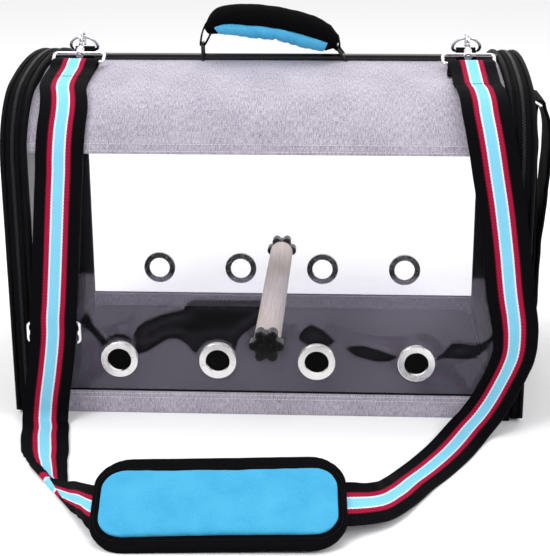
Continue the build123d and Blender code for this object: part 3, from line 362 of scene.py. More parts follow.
@dataclass(frozen=True)
class PlatedMetal(Finish):
    """Plated metal: bright, with its polish broken by fine rub marks."""

    colour: str = "#e4e3e6"
    low: float = 0.06
    high: float = 0.2
    marks: float = 3.0 * MM

    def shade(self, nodes: Nodes) -> Socket:
        """Full metal whose roughness follows fine marks."""
        own = nodes.add("TexCoord", "Object", {})
        marks = nodes.add("TexNoise", "Fac", {"Vector": own, "Scale": 1 / self.marks, "Detail": 4.0})
        rough = nodes.add("MapRange", 0, {0: marks, 1: 0.3, 2: 0.7, 3: self.low, 4: self.high})
        bump = nodes.add("Bump", "Normal", {"Height": marks, "Strength": 0.03, "Distance": 0.1 * MM})
        look = {"Base Color": linear(self.colour), "Metallic": 1.0, "Roughness": rough, "Normal": bump}
        return nodes.add("BsdfPrincipled", 0, look)


@dataclass(frozen=True)
class GlossPlastic(Finish):
    """Moulded or coated plastic: smooth and dark, with a faint moulded ripple under its gloss."""

    colour: str
    light: str
    roughness: float
    ripple: float
    coat: float

    def shade(self, nodes: Nodes) -> Socket:
        """Dark base with a slight ripple in colour, gloss and height."""
        own = nodes.add("TexCoord", "Object", {})
        wavy = nodes.add("TexNoise", "Fac", {"Vector": own, "Scale": 1 / self.ripple, "Detail": 3.0})
        colour = nodes.add("ValToRGB", "Color", {"Fac": wavy}, ((0.35, self.colour), (0.7, self.light)))
        duller = {0: wavy, 1: 0.3, 2: 0.7, 3: self.roughness, 4: self.roughness + 0.12}
        rough = nodes.add("MapRange", 0, duller)
        bump = nodes.add("Bump", "Normal", {"Height": wavy, "Strength": 0.12, "Distance": 0.2 * MM})
        look = {"Base Color": colour, "Roughness": rough, "Normal": bump, "Specular IOR Level": 0.2}
        return nodes.add("BsdfPrincipled", 0, {**look, "Coat Weight": self.coat, "Coat Roughness": 0.08})


@dataclass(frozen=True)
class SandedWood(Finish):
    """Sanded pale hardwood, unvarnished: straight grain along the perch."""

    light: str = "#fff2e9"
    dark: str = "#ecd8cb"
    grain: float = 1.5 * MM

    def shade(self, nodes: Nodes) -> Socket:
        """Grain lines stretched along the perch."""
        own = nodes.add("TexCoord", "Object", {})
        along = (1 / self.grain, 0.04 / self.grain, 1 / self.grain)
        stretched = nodes.add("VectorMath", 0, {0: own, 1: along}, operation="MULTIPLY")
        inputs = {"Vector": stretched, "Scale": 1.0, "Detail": 4.0, "Distortion": 0.4}
        lines = nodes.add("TexNoise", "Fac", inputs)
        colour = nodes.add("ValToRGB", "Color", {"Fac": lines}, ((0.3, self.dark), (0.6, self.light)))
        bump = nodes.add("Bump", "Normal", {"Height": lines, "Strength": 0.25, "Distance": 0.2 * MM})
        return nodes.add("BsdfPrincipled", 0, {"Base Color": colour, "Roughness": 0.6, "Normal": bump})


STRAP_STRIPES = (
    (0.0, "#08080b"), (0.242, "#5c0a20"), (0.258, "#9d1739"), (0.36, "#dde1ef"), (0.398, "#80cbe6"),
    (0.602, "#dde1ef"), (0.64, "#9d1739"), (0.742, "#5c0a20"), (0.758, "#08080b"),
)
BLACK_STRIPES = ((0.0, "#0b0b0e"), (1.0, "#0e0e11"))
GREY_STRIPES = ((0.0, "#3a3a40"), (1.0, "#46464e"))
HEATHER = HeatherPolyester("heather woven polyester", "grey_fabric")
THREAD = HeatherPolyester("grey sewing thread", "grey_fabric", "#e4e0e8", "#cfc9d5", "#aaa3b1", 0.3 * MM, MM)
BINDING = WovenBinding("black woven binding", "black_fabric")
PIPING = WovenBinding("black corded piping", "piping", "#060607", "#161619", 1.0 * MM, 0.5, 0.2 * MM)
TAPE = WovenBinding("zip tape", "zip_coil", "#060607", "#121214", 0.9 * MM, 0.7)
PAD_CLOTH = WovenBinding("black neoprene cloth", "black_fabric", "#040405", "#0f0f11", 1.0 * MM, 0.85)
FELT = WovenBinding("black needled felt", "floor_mat", "#050506", "#0e0e10", 2.2 * MM, 0.9, 0.5 * MM)
BLACK_THREAD = WovenBinding("black sewing thread", "black_fabric", "#0b0b0d", "#1e1e22", 0.4 * MM, 0.6)
HANDLE_CLOTH = WovenBinding("black soft cover cloth", "black_fabric", "#030304", "#0b0b0d", MM, 0.9, 0.2 * MM)
STRIPES = StripedWebbing("striped woven webbing", "strap_webbing", 38 * MM, STRAP_STRIPES)
BLACK_WEB = StripedWebbing("black woven webbing", "black_fabric", 50 * MM, BLACK_STRIPES)
CORE_WEB = StripedWebbing("black core webbing", "core_webbing", 25 * MM, BLACK_STRIPES)
GREY_WEB = StripedWebbing("grey tab webbing", "black_fabric", 50 * MM, GREY_STRIPES)
BLUE = BrushedKnit("blue brushed knit", "blue_padding")
# The grip is the same blue knit as the cushion, painted lighter to make up for the shade on its underside.
LIGHTENED_GRIP_BLUE = BrushedKnit("blue brushed knit of the grip", "blue_padding", "#63c8ef", "#3fa9dd")
FILM = ClearVinyl("clear flexible vinyl", "clear_film")
NET = KnitMesh("black knitted net", "black_mesh")
CHROME = PlatedMetal("bright chrome plating", "chrome")
NICKEL = PlatedMetal("satin nickel plating", "nickel", "#efecea", 0.2, 0.3, 6.0 * MM)
STEEL = PlatedMetal("drawn spring steel", "spring_steel", "#a9a9ad", 0.3, 0.5, 4.0 * MM)
WIRE = GlossPlastic("black coated wire", "black_wire", "#0b0b0c", "#1b1b1d", 0.2, 3.0 * MM, 0.4)
SLEEVE = GlossPlastic("glossy black tube sleeve", "black_tube", "#060508", "#0b0a0d", 0.08, 12.0 * MM, 1.0)
KNOB = GlossPlastic("moulded black knob", "knob_plastic", "#040405", "#09090a", 0.2, 4.0 * MM, 0.1)
COIL = GlossPlastic("black nylon coil", "zip_coil", "#141417", "#26262b", 0.32, 2.0 * MM, 0.1)
BOARD = GlossPlastic("black rigid sheet", "floor_board", "#08080a", "#101012", 0.6, 5.0 * MM, 0.0)
WOOD = SandedWood("sanded pale beech", "perch_wood")


# ---------------------------------------------------------------- modelling tools
def only(obj: Piece) -> None:
    """Select one object alone and make it active."""
    bpy.ops.object.select_all(action="DESELECT")
    obj.select_set(True)
    bpy.context.view_layer.objects.active = obj


def settle(obj: Piece) -> None:
    """Work an object's place, turn and scale into its mesh."""
    only(obj)
    bpy.ops.object.transform_apply(location=True, rotation=True, scale=True)


@contextmanager
def editing(obj: Piece) -> Iterator[None]:
    """Hold an object in edit mode, with all of it selected at the start."""
    only(obj)
    bpy.ops.object.mode_set(mode="EDIT")
    bpy.ops.mesh.select_mode(type="VERT")
    bpy.ops.mesh.select_all(action="SELECT")
    yield
    bpy.ops.object.mode_set(mode="OBJECT")


def pick(obj: Piece, kind: str, rule: Callable[[Vector], bool]) -> None:
    """Select the parts of a mesh in edit mode by their place.

    Args:
        obj: Object in edit mode.
        kind: VERT, EDGE or FACE.
        rule: Says whether a part with its middle at a point is wanted.
    """
    mesh = bmesh.from_edit_mesh(obj.data)
    bpy.ops.mesh.select_mode(type=kind)
    bpy.ops.mesh.select_all(action="DESELECT")
    for item in {"VERT": mesh.verts, "EDGE": mesh.edges, "FACE": mesh.faces}[kind]:
        corners = [item] if kind == "VERT" else item.verts
        middle = sum((c.co for c in corners), Vector()) / len(corners)
        item.select_set(bool(rule(middle)))
    bmesh.update_edit_mesh(obj.data)


def read_points(obj: Piece) -> Array:
    """Return the points of a mesh, one row each."""
    flat = np.empty(len(obj.data.vertices) * 3)
    obj.data.vertices.foreach_get("co", flat)
    return flat.reshape(-1, 3)


def write_points(obj: Piece, points: Array) -> None:
    """Put the points of a mesh at new places."""
    obj.data.vertices.foreach_set("co", np.asarray(points, dtype=float).ravel())
    obj.data.update()


def paint(obj: Piece, name: str, values: Array) -> None:
    """Store a number or a vector at each point of a mesh.

    Args:
        obj: Object to paint.
        name: Attribute name that the finishes read.
        values: One number or one row of three for each point.
    """
    kind, key = ("FLOAT", "value") if values.ndim == 1 else ("FLOAT_VECTOR", "vector")
    layer = obj.data.attributes.get(name) or obj.data.attributes.new(name, kind, "POINT")
    layer.data.foreach_set(key, np.asarray(values, dtype=float).ravel())


def turn_out() -> None:
    """Turn every face outwards, in edit mode."""
    bpy.ops.mesh.select_all(action="SELECT")
    bpy.ops.mesh.normals_make_consistent(inside=False)


def close_ends(threshold: float) -> None:
    """Merge doubled points and fill the open ends, in edit mode."""
    bpy.ops.mesh.select_all(action="SELECT")
    bpy.ops.mesh.remove_doubles(threshold=threshold)
    bpy.ops.mesh.select_all(action="DESELECT")
    bpy.ops.mesh.select_non_manifold()
    bpy.ops.mesh.fill_holes(sides=0)
    turn_out()


def modify(obj: Piece, kind: str, **settings: object) -> None:
    """Add a modifier and apply it.

    Args:
        obj: Object to change.
        kind: Blender's name of the modifier type.
        settings: Properties of the modifier.
    """
    only(obj)
    modifier = obj.modifiers.new(kind, kind)
    for name, value in settings.items():
        setattr(modifier, name, value)
    bpy.ops.object.modifier_apply(modifier=modifier.name)


def join(first: Piece, *others: Piece) -> Piece:
    """Join objects into the first one and return it."""
    only(first)
    for other in others:
        other.select_set(True)
    bpy.ops.object.join()
    return first


def ripple(a: Array, b: Array, pitch: float, seed: int) -> Array:
    """Uneven soft waves, about -1 to 1, the same on every run.

    Args:
        a: First coordinate.
        b: Second coordinate.
        pitch: Usual distance from wave to wave.
        seed: Number that picks the pattern.

    Returns:
        Height at each point.
    """
    dice = np.random.default_rng(seed)
    total = np.zeros_like(a)
    for _ in range(7):
        turn, phase = dice.uniform(0, 2 * math.pi, 2)
        pace = 2 * math.pi / (pitch * dice.uniform(0.7, 1.7))
        total += np.sin(pace * (a * math.cos(turn) + b * math.sin(turn)) + phase)
    return total / 3.2


def near_line(a: Array, b: Array, line: Array) -> Array:
    """Distance of points from a bent line.

    Args:
        a: First coordinate of the points.
        b: Second coordinate.
        line: Corners of the line, a row each.

    Returns:
        Distance of each point.
    """
    best = np.full(a.shape, 1e9)
    for start, stop in zip(line[:-1], line[1:]):
        step = math.dist(start, stop)
        run = (stop - start) / step
        t = np.clip((a - start[0]) * run[0] + (b - start[1]) * run[1], 0, step)
        best = np.minimum(best, np.hypot(a - start[0] - t * run[0], b - start[1] - t * run[1]))
    return best


def smooth(low: float, high: float, value: Array) -> Array:
    """Rise softly from 0 at low to 1 at high."""
    t = np.clip((value - low) / (high - low), 0, 1)
    return t * t * (3 - 2 * t)


def cloth(name: str, across: int, along: int, place: Callable) -> Piece:
    """Make a sheet from a grid and lay it in place.

    Args:
        name: Name of the piece.
        across: Cells across the cloth.
        along: Cells along it.
        place: Gives points and cloth coordinates for shares across and along.

    Returns:
        The sheet, without thickness.
    """
    bpy.ops.object.select_all(action="DESELECT")
    bpy.ops.mesh.primitive_grid_add(x_subdivisions=across, y_subdivisions=along, size=1)
    obj = bpy.context.object
    obj.name = name
    flat = read_points(obj)
    points, lay = place(flat[:, 0] + 0.5, flat[:, 1] + 0.5)
    write_points(obj, points)
    paint(obj, "lay", lay)
    return obj


def block(name: str, size: Sequence[float], middle: Sequence[float] = (0, 0, 0)) -> Piece:
    """Make a plain block of a size along X, Y and Z round its middle."""
    bpy.ops.object.select_all(action="DESELECT")
    bpy.ops.mesh.primitive_cube_add(size=1, location=middle, scale=size)
    obj = bpy.context.object
    obj.name = name
    settle(obj)
    return obj


def bead(name: str, size: Spot, round_by: float) -> Piece:
    """Make one small rounded block, for a zip tooth or a stitch.

    Args:
        name: Name of the object.
        size: Its size along X, Y and Z.
        round_by: Width of its rounded edges.

    Returns:
        The block at the origin.
    """
    obj = block(name, size)
    with editing(obj):
        bpy.ops.mesh.bevel(offset=round_by, segments=1)
    return obj


def row(obj: Piece, count: int, step: Spot) -> Piece:
    """Repeat a small piece in a straight row and return it."""
    kind = {"use_relative_offset": False, "use_constant_offset": True}
    modify(obj, "ARRAY", count=count, constant_offset_displace=step, **kind)
    return obj


def dress(obj: Piece, finish: Finish, body: str, nodes: Sequence[str] = (), crease: float = 45) -> None:
    """Give a finished piece its material, its body and the nodes that it stands for.

    Args:
        obj: Piece, in place.
        finish: Its finish.
        body: Body that it moves with.
        nodes: CAD nodes that it replaces.
        crease: Angle in degrees past which an edge stays sharp.
    """
    settle(obj)
    obj.data.materials.clear()
    obj.data.materials.append(finish.material())
    obj.data.name = obj.name
    bpy.ops.object.shade_smooth_by_angle(angle=math.radians(crease))
    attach(obj, body)
    if nodes:
        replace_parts(obj, *nodes)
    log.info("piece %s: %d faces on %s", obj.name, len(obj.data.polygons), body)


def rounded(width: float, height: float, corner: float, segments: int) -> list[Point]:
    """Walk round a rectangle with round corners.

    Args:
        width: Its whole width.
        height: Its whole height.
        corner: Radius of its corners.
        segments: Steps of each corner.

    Returns:
        Its points, starting at the right of the top right corner.
    """
    made = []
    for quarter, (sx, sy) in enumerate(((1, 1), (-1, 1), (-1, -1), (1, -1))):
        for step in range(segments + 1):
            angle = math.radians(90 * (quarter + step / segments))
            x = sx * (width / 2 - corner) + corner * math.cos(angle)
            made.append((x, sy * (height / 2 - corner) + corner * math.sin(angle)))
    return made


@dataclass(frozen=True)
class Profile:
    """Rounded rectangular section, with its middle at (x, lift)."""

    x: float
    lift: float
    width: float
    height: float
    corner: float
    segments: int

    def points(self) -> list[Point]:
        """Corner points in order, as X and lift."""
        outline = rounded(self.width, self.height, self.corner, self.segments)
        return [(self.x + x, self.lift + lift) for x, lift in outline]


@dataclass(frozen=True)
class ArchCourse:
    """Course of the cabin's walls: up the front, over the crown and down the back.

    A place on it is a run from the front foot and a lift outwards from the wall.
    """

    half: float = 127 * MM
    bend_y: float = 69 * MM
    bend_z: float = 210 * MM
    bend: float = 58 * MM
    crown_z: float = -65.8 * MM
    crown: float = 342.3 * MM

    @property
    def lean(self) -> float:
        """Angle from the vertical where the shoulder meets the crown."""
        return math.atan2(self.bend_y, self.bend_z - self.crown_z)

    @property
    def shoulder(self) -> float:
        """Length of one shoulder arc."""
        return self.bend * (math.pi / 2 - self.lean)

    @property
    def length(self) -> float:
        """Length of the whole course."""
        return 2 * (self.bend_z + self.shoulder + self.lean * self.crown)

    def place(self, run: Array, lift: Array) -> Pair:
        """Turn run and lift into Y and Z."""
        back = run > self.length / 2
        s = np.where(back, self.length - run, run)
        turn = np.clip((s - self.bend_z) / self.bend, 0, math.pi / 2 - self.lean)
        over = self.lean - (s - self.bend_z - self.shoulder) / self.crown
        parts = [s < self.bend_z, s < self.bend_z + self.shoulder]
        bend, crown = self.bend + lift, self.crown + lift
        y = np.select(parts, [self.half + lift, self.bend_y + bend * np.cos(turn)], crown * np.sin(over))
        z = np.select(parts, [s, self.bend_z + bend * np.sin(turn)], self.crown_z + crown * np.cos(over))
        return np.where(back, y, -y), z

    def over(self, turn: float, lift: float) -> Point:
        """Find a place over the front shoulder or the crown.

        Args:
            turn: Angle from the vertical, in degrees.
            lift: Lift outwards from the wall, in millimetres.

        Returns:
            Y and Z in millimetres.
        """
        angle = math.radians(turn)
        bent = angle > self.lean
        y, z, radius = (self.bend_y, self.bend_z, self.bend) if bent else (0.0, self.crown_z, self.crown)
        reach = radius / MM + lift
        return -y / MM - reach * math.sin(angle), z / MM + reach * math.cos(angle)

    def find(self, y: Array, z: Array) -> Pair:
        """Turn Y and Z into run and lift."""
        out = np.abs(y)
        turn = np.arctan2(out - self.bend_y, z - self.bend_z)
        over = np.arctan2(out, z - self.crown_z)
        parts = [z < self.bend_z, turn > self.lean]
        on_bend = self.bend_z + self.bend * (math.pi / 2 - turn)
        on_crown = self.bend_z + self.shoulder + self.crown * (self.lean - over)
        s = np.select(parts, [z, on_bend], on_crown)
        bend_lift = np.hypot(out - self.bend_y, z - self.bend_z) - self.bend
        crown_lift = np.hypot(out, z - self.crown_z) - self.crown
        lift = np.select(parts, [out - self.half, bend_lift], crown_lift)
        return np.where(y > 0, self.length - s, s), lift

    def sweep(self, name: str, profile: Profile, foot: float, cell: float = 8 * MM) -> Piece:
        """Carry a closed section along the course with extrude and spin.

        Args:
            name: Name of the object.
            profile: Its section.
            foot: Height of its two feet.
            cell: Usual distance from ring to ring.

        Returns:
            The closed sweep, with its cloth coordinates painted.
        """
        section = profile.points()
        bpy.ops.object.select_all(action="DESELECT")
        bpy.ops.mesh.primitive_circle_add(vertices=len(section), radius=MM)
        obj = bpy.context.object
        obj.name = name
        write_points(obj, [(x, -self.half - lift, foot) for x, lift in section])
        legs = max(1, round((self.bend_z - foot) / cell))
        rise = (self.bend_z - foot) / legs
        quarter = math.pi / 2 - self.lean
        bends = (
            (quarter, self.shoulder, (0, -self.bend_y, self.bend_z)),
            (2 * self.lean, 2 * self.lean * self.crown, (0, 0, self.crown_z)),
            (quarter, self.shoulder, (0, self.bend_y, self.bend_z)),
        )
        with editing(obj):
            for _ in range(legs):
                bpy.ops.mesh.extrude_region_move(TRANSFORM_OT_translate={"value": (0, 0, rise)})
            for angle, arc, middle in bends:
                bpy.ops.mesh.spin(steps=max(6, round(arc / cell)), angle=angle, center=middle, axis=(1, 0, 0))
            for _ in range(legs):
                bpy.ops.mesh.extrude_region_move(TRANSFORM_OT_translate={"value": (0, 0, -rise)})
            close_ends(1e-6)
        self.lay(obj)
        return obj

    def lay(self, obj: Piece) -> None:
        """Paint cloth coordinates on a piece that follows the course."""
        points = read_points(obj)
        run, lift = self.find(points[:, 1], points[:, 2])
        paint(obj, "lay", np.column_stack([points[:, 0] + lift, run, lift]))

    def wrap(self, obj: Piece) -> Piece:
        """Bend a straight piece, with its lift along -Y and its run along Z, on to the course."""
        points = read_points(obj)
        y, z = self.place(points[:, 2], -points[:, 1])
        write_points(obj, np.column_stack([points[:, 0], y, z]))
        with editing(obj):
            turn_out()
        self.lay(obj)
        return obj


COURSE = ArchCourse()


def heading(turn: float, rise: float = 0.0) -> Array:
    """Unit vector turned about the vertical from +X, then raised, both in degrees."""
    across, up = math.radians(turn), math.radians(rise)
    flat = math.cos(up)
    return np.array([flat * math.cos(across), flat * math.sin(across), math.sin(up)])


@dataclass
class Ribbon:
    """Flat strip of webbing laid through a list of stops.

    Attributes:
        width: Width of the webbing, in millimetres.
        thickness: Its thickness, in millimetres.
        length: Its length in metres, once it is built.
        stops: Middle in millimetres, direction across and width of each stop.
    """

    width: float
    thickness: float
    length: float = 0.0
    stops: list[tuple[Array, Array, float]] = field(default_factory=list)

    def to(self, x: float, y: float, z: float, turn: float = 0, rise: float = 0, wide: float = 0) -> None:
        """Add a stop with its middle, the turn and rise of the direction across it, and its width."""
        self.stops.append((np.array([x, y, z]), heading(turn, rise), wide or self.width))

    def through(self, *spots: Sequence[float]) -> None:
        """Add several stops."""
        for spot in spots:
            self.to(*spot)

    def arch(self, x: float, turn: float, lift: float) -> None:
        """Add a stop over the front shoulder or crown, by its angle from the vertical in degrees."""
        self.to(x, *COURSE.over(turn, lift))

    def round_bar(self, x: float, y: float, z: float, radius: float, start: float, stop: float) -> None:
        """Bend round a bar that lies along X, between two angles in degrees."""
        for step in range(9):
            angle = math.radians(start + (stop - start) * step / 8)
            self.to(x, y + radius * math.cos(angle), z + radius * math.sin(angle))

    def course(self, cell: float) -> tuple[Array, Array, Array, Array]:
        """Run a smooth line through the stops.

        Args:
            cell: Usual distance between its points, in millimetres.

        Returns:
            Middles, directions across, widths and distances along, a row for each point.
        """
        middles, across, wide = (np.array(column) for column in zip(*self.stops))
        gaps = np.maximum(np.linalg.norm(np.diff(middles, axis=0), axis=1), 1e-6)
        slopes = np.diff(middles, axis=0) / gaps[:, None]
        before, after = gaps[:-1, None], gaps[1:, None]
        between = (slopes[1:] * before + slopes[:-1] * after) / (after + before)
        tangents = np.vstack([slopes[:1], between, slopes[-1:]])
        at = np.concatenate([[0.0], np.cumsum(gaps)])
        counts = [max(1, math.ceil(gap / cell)) for gap in gaps]
        runs = [np.linspace(at[i], at[i + 1], count, endpoint=False) for i, count in enumerate(counts)]
        s = np.concatenate([*runs, at[-1:]])
        i = np.clip(np.searchsorted(at, s, side="right") - 1, 0, len(gaps) - 1)
        t = ((s - at[i]) / gaps[i])[:, None]
        ease = 3 * t**2 - 2 * t**3
        leave, arrive = (t**3 - 2 * t**2 + t) * gaps[i][:, None], (t**3 - t**2) * gaps[i][:, None]
        middle = (1 - ease) * middles[i] + ease * middles[i + 1]
        middle += leave * tangents[i] + arrive * tangents[i + 1]
        turned = across[i] * (1 - ease) + across[i + 1] * ease
        turned /= np.linalg.norm(turned, axis=1)[:, None]
        width = (wide[i, None] * (1 - ease) + wide[i + 1, None] * ease)[:, 0]
        along = np.concatenate([[0.0], np.cumsum(np.linalg.norm(np.diff(middle, axis=0), axis=1))])
        return middle, turned, width, along

    def build(self, name: str, cell: float = 3.0, cells: int = 8, cup: float = 0.0) -> Piece:
        """Make the webbing.

        Args:
            name: Name of the piece.
            cell: Usual length of its cells, in millimetres.
            cells: Cells across it.
            cup: How far its edges stand off its middle, in millimetres.

        Returns:
            The webbing with its thickness.
        """
        middle, turned, width, along = self.course(cell)
        forward = np.gradient(middle, axis=0)
        face = np.cross(forward, turned)
        face /= np.maximum(np.linalg.norm(face, axis=1), 1e-9)[:, None]
        self.length = float(along[-1]) * MM

        def place(u: Array, v: Array) -> Pair:
            """Lay the shares across and along on the course."""
            i = np.rint(v * (len(middle) - 1)).astype(int)
            off = ((u - 0.5) * width[i])[:, None] * turned[i] + (cup * (2 * u - 1) ** 2)[:, None] * face[i]
            lay = np.column_stack([(u - 0.5) * self.width, along[i], np.zeros_like(u)])
            return (middle[i] + off) * MM, lay * MM

        obj = cloth(name, cells, len(middle) - 1, place)
        modify(obj, "SOLIDIFY", thickness=self.thickness * MM, offset=0.0)
        return obj


def copies(small: Piece, name: str, places: Array, along: Array, out: Array) -> Piece:
    """Set one small piece, modelled along X with its top along Z, at many places.

    Args:
        small: Piece at the origin; it is used up.
        name: Name of the new piece.
        places: Middle of each copy.
        along: Direction of each copy's X.
        out: Direction of each copy's Z.

    Returns:
        All the copies as one object.
    """
    points = read_points(small)
    faces = [tuple(face.vertices) for face in small.data.polygons]
    axes = (along, np.cross(out, along), out)
    turned = sum(points[None, :, k, None] * axis[:, None, :] for k, axis in enumerate(axes))
    turned += places[:, None, :]
    starts = range(0, len(places) * len(points), len(points))
    every = [tuple(corner + start for corner in face) for start in starts for face in faces]
    mesh = bpy.data.meshes.new(name)
    mesh.from_pydata(turned.reshape(-1, 3).tolist(), [], every)
    bpy.data.objects.remove(small)
    obj = bpy.data.objects.new(name, mesh)
    bpy.context.collection.objects.link(obj)
    paint(obj, "lay", turned.reshape(-1, 3))
    return obj


def spaced(points: Array, pitch: float) -> Pair:
    """Even places along a line of points.

    Args:
        points: Corners of the line.
        pitch: Distance from place to place.

    Returns:
        The places and the direction of the line at each.
    """
    steps = np.linalg.norm(np.diff(points, axis=0), axis=1)
    at = np.concatenate([[0.0], np.cumsum(steps)])
    wanted = np.arange(pitch / 2, at[-1], pitch)
    places = np.column_stack([np.interp(wanted, at, points[:, k]) for k in range(3)])
    i = np.clip(np.searchsorted(at, wanted) - 1, 0, len(steps) - 1)
    return places, np.diff(points, axis=0)[i] / steps[i][:, None]


def stitch_line(name: str, points: Array, out: Array, size: Spot) -> Piece:
    """Sew a row of stitches along a line.

    Args:
        name: Name of the row.
        points: Line that it follows.
        out: Outward direction, one row or one for each point.
        size: Length, width and height of a stitch.

    Returns:
        The row.
    """
    places, along = spaced(points, size[0] * 1.28)
    if out.ndim == 1:
        facing = np.tile(out, (len(places), 1))
    else:
        near = [int(np.argmin(np.linalg.norm(points - place, axis=1))) for place in places]
        facing = out[near]
    facing = facing - (facing * along).sum(1)[:, None] * along
    facing /= np.linalg.norm(facing, axis=1)[:, None]
    return copies(bead("stitch", size, min(size[1], size[2]) * 0.35), name, places, along, facing)


# ---------------------------------------------------------------- the cabin
@dataclass
class CabinShell:
    """Sewn body of the cabin: top panels, clear windows, hems and floor.

    Attributes:
        reach: Half of its length.
        cloth_thick: Thickness of its fabric.
        hem: Height of the hems.
        seam: Run of the seam between window and top panel.
        eyelets: X of the eyelets.
        eyelet_z: Their height.
        perch_z: Height of the perch.
        film_gap: How far the film lies inside the outer surface.
        seam_rows: Stitch rows of the top panels, by their distance above the seam.
        hem_rows: Stitch rows of the hems, by their height.
        row_wide: Half of the width that a row of stitches draws in.
        mat: Length and width of the felt mat.
        mat_z: Height of its middle.
        turned_away: Outlines of dark reflections painted on the front film, where its shine and milky veil
            are taken out and the sheet rises in a slight fold at the edge, as X and Z in millimetres.
    """

    reach: float = 190 * MM
    cloth_thick: float = 1.6 * MM
    hem: float = 20 * MM
    seam: float = COURSE.bend_z + COURSE.bend * math.radians(90 - 78.56)
    eyelets: tuple[float, ...] = (-122.55 * MM, -40.85 * MM, 40.85 * MM, 122.55 * MM)
    eyelet_z: float = 47.8 * MM
    perch_z: float = 65.5 * MM
    film_gap: float = 0.5 * MM
    seam_rows: tuple[float, ...] = (2.2 * MM, 7.7 * MM)
    hem_rows: tuple[float, ...] = (14.0 * MM, 17.4 * MM)
    row_wide: float = 0.9 * MM
    mat: Point = (374 * MM, 244.8 * MM)
    mat_z: float = 6.6 * MM
    # Outlines of dark reflections painted on the front film: inside them its shine and milky veil are taken
    # out so the dark floor shows through. Only the slight fold at their edge is real shape.
    turned_away: tuple[Line, ...] = (
        (
            (-110, 60), (-110, 69), (-107, 76), (-100, 82), (-88, 87), (-78, 90), (-68, 92.5), (-65.5, 98),
            (-59, 101), (-4, 101), (0, 92), (-4, 83), (-12, 77), (-19, 72), (-24, 66), (-26, 56), (-30, 62),
            (-36, 65.5), (-43, 66), (-50, 64), (-56, 58), (-59, 52.5), (-63, 57), (-67, 62.5), (-74, 66.5),
            (-82, 66), (-90, 61), (-99, 55), (-108, 51.5),
        ),
        ((-154, 80), (-150, 88), (-146, 87), (-143, 79), (-131, 62), (-137, 59), (-143, 69)),
        ((26, 67), (27, 73), (31, 78), (37, 81), (45, 77), (56, 67), (51, 61), (40, 63), (33, 62)),
        (
            (64, 61), (72, 63.5), (81, 63), (95, 58.5), (108, 53.5), (102, 49.5), (94, 48.5), (84, 50.5),
            (72, 54),
        ),
        (
            (137, 50.5), (143, 57), (151, 66.5), (157, 67.5), (166, 65.5), (174, 66.5), (181, 71), (187, 81),
            (186, 72), (178, 60), (170, 54), (161, 52.5), (152, 53.5), (144, 52.5),
        ),
        (
            (-134, 62), (-130, 68), (-122, 71), (-114, 68.5), (-110, 61), (-116, 65), (-122, 66.5),
            (-128, 65.5),
        ),
    )

    def build(self) -> None:
        """Make all the cloth and film of the body."""
        for face in Face:
            self.top_panel(face)
            self.window(face)
            self.hem_strip(face)
        self.floor()

    def top_panel(self, face: Face) -> None:
        """Sew one half of the roof, from its window seam up to the crest tube."""
        crest = COURSE.length / 2

        def place(u: Array, v: Array) -> Pair:
            """Lay the fabric on the arch, doubled along the seam and drawn in by its stitches."""
            x = -face.value * (u - 0.5) * 2 * self.reach
            up = v * (crest - self.seam)
            fold = 1 - smooth(9.5 * MM, 11.2 * MM, up)
            rolled = np.sqrt(np.clip(up / (1.2 * MM), 0, 1))
            rows = self.drawn_in(up, self.seam_rows)
            pucker = ripple(x, up * 0.3, 8 * MM, 11 + face.value) * np.exp(-((up - 6 * MM) / (8 * MM)) ** 2)
            slack = ripple(x, up, 70 * MM, 21 + face.value) * np.sin(np.pi * v) * 0.9 * MM
            sag = -1.3 * MM * np.sin(np.pi * v) ** 0.7
            sewn = (0.75 * fold * rolled - 0.4 * rows + 0.28 * pucker) * MM
            lift = sewn + slack + sag - 0.35 * MM * (1 - rolled)
            run = self.seam + up
            y, z = COURSE.place(run, lift)
            return np.column_stack([x, -face.value * y, z]), np.column_stack([x, run, lift])

        obj = cloth(f"{face.word}_roof_cloth", 190, 84, place)
        modify(obj, "SOLIDIFY", thickness=self.cloth_thick, offset=-1.0)
        dress(obj, HEATHER, "carrier", [f"{face.word}_top_panel"], 60)
        for number, up in enumerate(self.seam_rows):
            self.seam_stitches(f"{face.word}_seam_row_{number + 1}", face, self.seam + up, 0.55 * MM)

    def drawn_in(self, place: Array, rows: Sequence[float]) -> Array:
        """Share by which the rows of stitches draw the cloth in at each place."""
        return sum(np.exp(-(((place - at) / self.row_wide) ** 2)) for at in rows)

    def seam_stitches(self, name: str, face: Face, run: float, lift: float) -> None:
        """Sew one row along the cabin at a run and a lift."""
        y, z = (float(value) for value in COURSE.place(np.array(run), np.array(lift)))
        y2, z2 = (float(value) for value in COURSE.place(np.array(run), np.array(lift + MM)))
        half = self.reach - 2 * MM
        ends = np.array([[x, -face.value * y, z] for x in (-half, half)])
        out = np.array([0.0, -face.value * (y2 - y), z2 - z]) / MM
        dress(stitch_line(name, ends, out, (2.6 * MM, 0.6 * MM, 0.45 * MM)), THREAD, "carrier")

    def shadow(self, x: Array, z: Array) -> Array:
        """Depth inside the outlines of the dark reflections painted on the film.

        Args:
            x: Place along the cabin.
            z: Height.

        Returns:
            Distance inside the nearest outline, negative outside.
        """
        deepest = np.full(x.shape, -1.0)
        for outline in self.turned_away:
            corners = np.array(outline) * MM
            gap = near_line(x, z, np.vstack([corners, corners[:1]]))
            inside = np.zeros(x.shape, dtype=bool)
            for (x0, z0), (x1, z1) in zip(corners, np.roll(corners, -1, axis=0)):
                crosses = (z0 > z) != (z1 > z)
                inside ^= crosses & (x < (x1 - x0) * (z - z0) / (z1 - z0 + 1e-12) + x0)
            deepest = np.maximum(deepest, np.where(inside, gap, -gap))
        return deepest

    def window(self, face: Face) -> None:
        """Stretch one clear window between hem and top panel, held by its eyelets and the perch."""
        low, high = self.hem - 0.3 * MM, self.seam + 3 * MM
        eyelets = [(at, self.eyelet_z) for at in self.eyelets]
        depth = np.array([])

